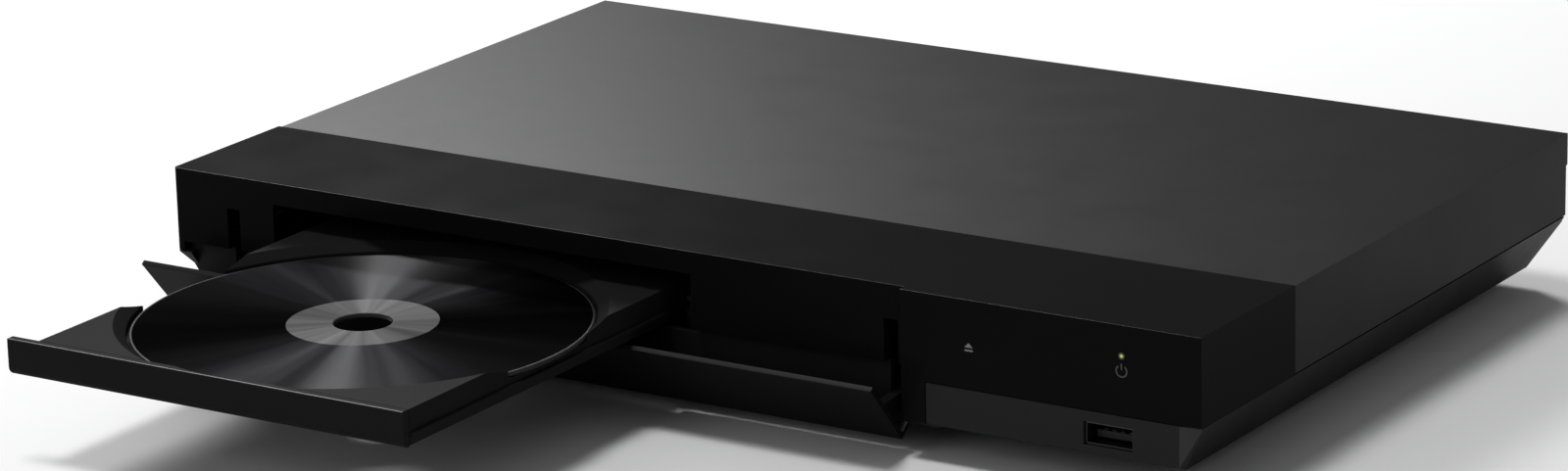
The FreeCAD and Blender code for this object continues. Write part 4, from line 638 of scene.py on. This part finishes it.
# resistors and chokes, strewn where the main board is free
partSettings = {
    "seed": 7, "count": 70, "sizes": ((1.6, 0.8, 0.5), (2.0, 1.2, 0.6), (3.2, 2.5, 1.4)), "margin": 7 * mm,
    "apart": 2.5 * mm, "round": 0.08 * mm,
}
chooser = random.Random(partSettings["seed"])
standing = ("main_heatsink", "hdmi_socket", "lan_socket", "coax_socket", "power_harness", "drive_ribbon",
            "front_ribbon", "board_capacitors")
taken = [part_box(node) for node in standing]
taken += [((left, front), (right, back)) for left, right, front, back in chips]
boardLow, boardHigh = ends("main_board")
margin, apart = partSettings["margin"], partSettings["apart"]
build = bmesh.new()
for i in range(partSettings["count"]):
    sizes = chooser.choice(partSettings["sizes"])
    if chooser.random() < 0.5:
        sizes = (sizes[1], sizes[0], sizes[2])
    x = chooser.uniform(boardLow.x + margin, boardHigh.x - margin)
    y = chooser.uniform(boardLow.y + margin, boardHigh.y - margin)
    if any(low[0] - apart < x < high[0] + apart and low[1] - apart < y < high[1] + apart
           for low, high in taken):
        continue
    wide, deep, high = (s * mm for s in sizes)
    taken.append(((x - wide / 2, y - deep / 2), (x + wide / 2, y + deep / 2)))
    addBox(build, (x, y, deckUp + high / 2), (wide, deep, high))
roundEdges(build, list(build.edges), partSettings["round"])
finished("board_small_parts", build, [ferrite], "case")
print("board parts made")


# screws: each with the outward direction of its heads, a cross cut into them and a round rim
screwSettings = {"cover_screws": (0, 1, 0), "board_screws": (0, 0, 1), "loader_screws": (0, 0, 1)}
crossSettings = {
    "round": 0.35 * mm, "deep": 0.9 * mm, "wide": 0.7 * mm, "long": 2.8 * mm, "headArea": 12 * mm * mm,
    "facing": 0.99, "sameScrew": 2 * mm,
}


def headTops(node, along):
    # the middle of each screw's outermost flat face
    build = mergedCopy(node)
    tops = [f.calc_center_median() for f in build.faces
            if f.normal.dot(along) > crossSettings["facing"] and f.calc_area() > crossSettings["headArea"]]
    build.free()
    return [spot for spot in tops
            if not any((spot - other).cross(along).length < crossSettings["sameScrew"]
                       and (other - spot).dot(along) > 0 for other in tops)]


def crossed(node, along, spots):
    wide, long, deep = crossSettings["wide"], crossSettings["long"], crossSettings["deep"]
    piece = softened(node, "case", zincPlate, crossSettings["round"])
    piece.modifiers.clear()
    turn = Vector((0, 0, 1)).rotation_difference(along).to_matrix().to_4x4()
    cutter = bmesh.new()
    for spot in spots:
        for first, second in ((wide, long), (long, wide)):
            addBox(cutter, spot, (first, second, 2 * deep), turn)
    tool = linked(node + "_cross", meshOf(node + "_cross", cutter))
    carve = piece.modifiers.new("carve", "BOOLEAN")
    carve.operation = "DIFFERENCE"
    carve.solver = "EXACT"
    carve.use_self = True
    carve.object = tool
    bpy.context.view_layer.update()
    carved = bpy.data.meshes.new_from_object(piece.evaluated_get(bpy.context.evaluated_depsgraph_get()))
    piece.modifiers.clear()
    piece.data = carved
    bpy.data.objects.remove(tool)
    weighted(piece)


for node, along in screwSettings.items():
    spots = headTops(node, Vector(along))
    crossed(node, Vector(along), spots)
    print(node, len(spots), "heads")


# floor, light and camera
floorSettings = {"half": 3.0, "colour": (0.9, 0.9, 0.9), "roughness": 0.9}
build = bmesh.new()
bmesh.ops.create_grid(build, x_segments=1, y_segments=1, size=floorSettings["half"])
floorPiece = linked("floor", meshOf("floor", build))
floorWhite = newMaterial("floorWhite", floorSettings["colour"], floorSettings["roughness"])[0]
floorPiece.data.materials.append(floorWhite)

lampSettings = {
    "key": {"place": (-1.2, 1.15, 1.1), "aim": (-0.1, 0.0, 0.0), "size": 0.6, "watts": 28},
    "over": {"place": (-0.3, -0.3, 1.9), "aim": (0, 0, 0), "size": 0.5, "watts": 17},
    "front": {"place": (-0.5, -1.7, 0.9), "aim": (0, 0, 0.02), "size": 1.0, "watts": 4},
}
for name, lamp in lampSettings.items():
    light = bpy.data.lights.new(name, "AREA")
    light.size = lamp["size"]
    light.energy = lamp["watts"]
    holder = linked(name, light)
    holder.location = lamp["place"]
    aim = Vector(lamp["aim"]) - Vector(lamp["place"])
    holder.rotation_euler = aim.to_track_quat("-Z", "Y").to_euler()

worldSettings = {"colour": (0.18, 0.18, 0.183), "strength": 1.0}
world = bpy.data.worlds.new("studio")
bpy.context.scene.world = world
world.use_nodes = True
background = world.node_tree.nodes["Background"]
background.inputs["Color"].default_value = (*worldSettings["colour"], 1)
background.inputs["Strength"].default_value = worldSettings["strength"]

cameraSettings = {
    "place": (0.79605, -1.22137, 0.47019), "target": (0, 0.0465, 0.0247), "roll": -1.17,
    "lens": 131.085, "sensor": 36.0, "shiftX": -0.0495, "shiftY": -0.0056, "near": 0.05,
}
cameraData = bpy.data.cameras.new("camera")
cameraData.lens = cameraSettings["lens"]
cameraData.sensor_width = cameraSettings["sensor"]
cameraData.sensor_fit = "HORIZONTAL"
cameraData.shift_x = cameraSettings["shiftX"]
cameraData.shift_y = cameraSettings["shiftY"]
cameraData.clip_start = cameraSettings["near"]
camera = linked("camera", cameraData)
place = Vector(cameraSettings["place"])
ahead = (Vector(cameraSettings["target"]) - place).normalized()
right = ahead.cross(Vector((0, 0, 1))).normalized()
up = right.cross(ahead)
roll = math.radians(cameraSettings["roll"])
rolledRight = right * math.cos(roll) + up * math.sin(roll)
rolledUp = up * math.cos(roll) - right * math.sin(roll)
facing = Matrix((rolledRight, rolledUp, -ahead)).transposed().to_4x4()
camera.matrix_world = Matrix.Translation(place) @ facing
bpy.context.scene.camera = camera
bpy.context.scene.view_settings.view_transform = "Standard"
print("stage set")
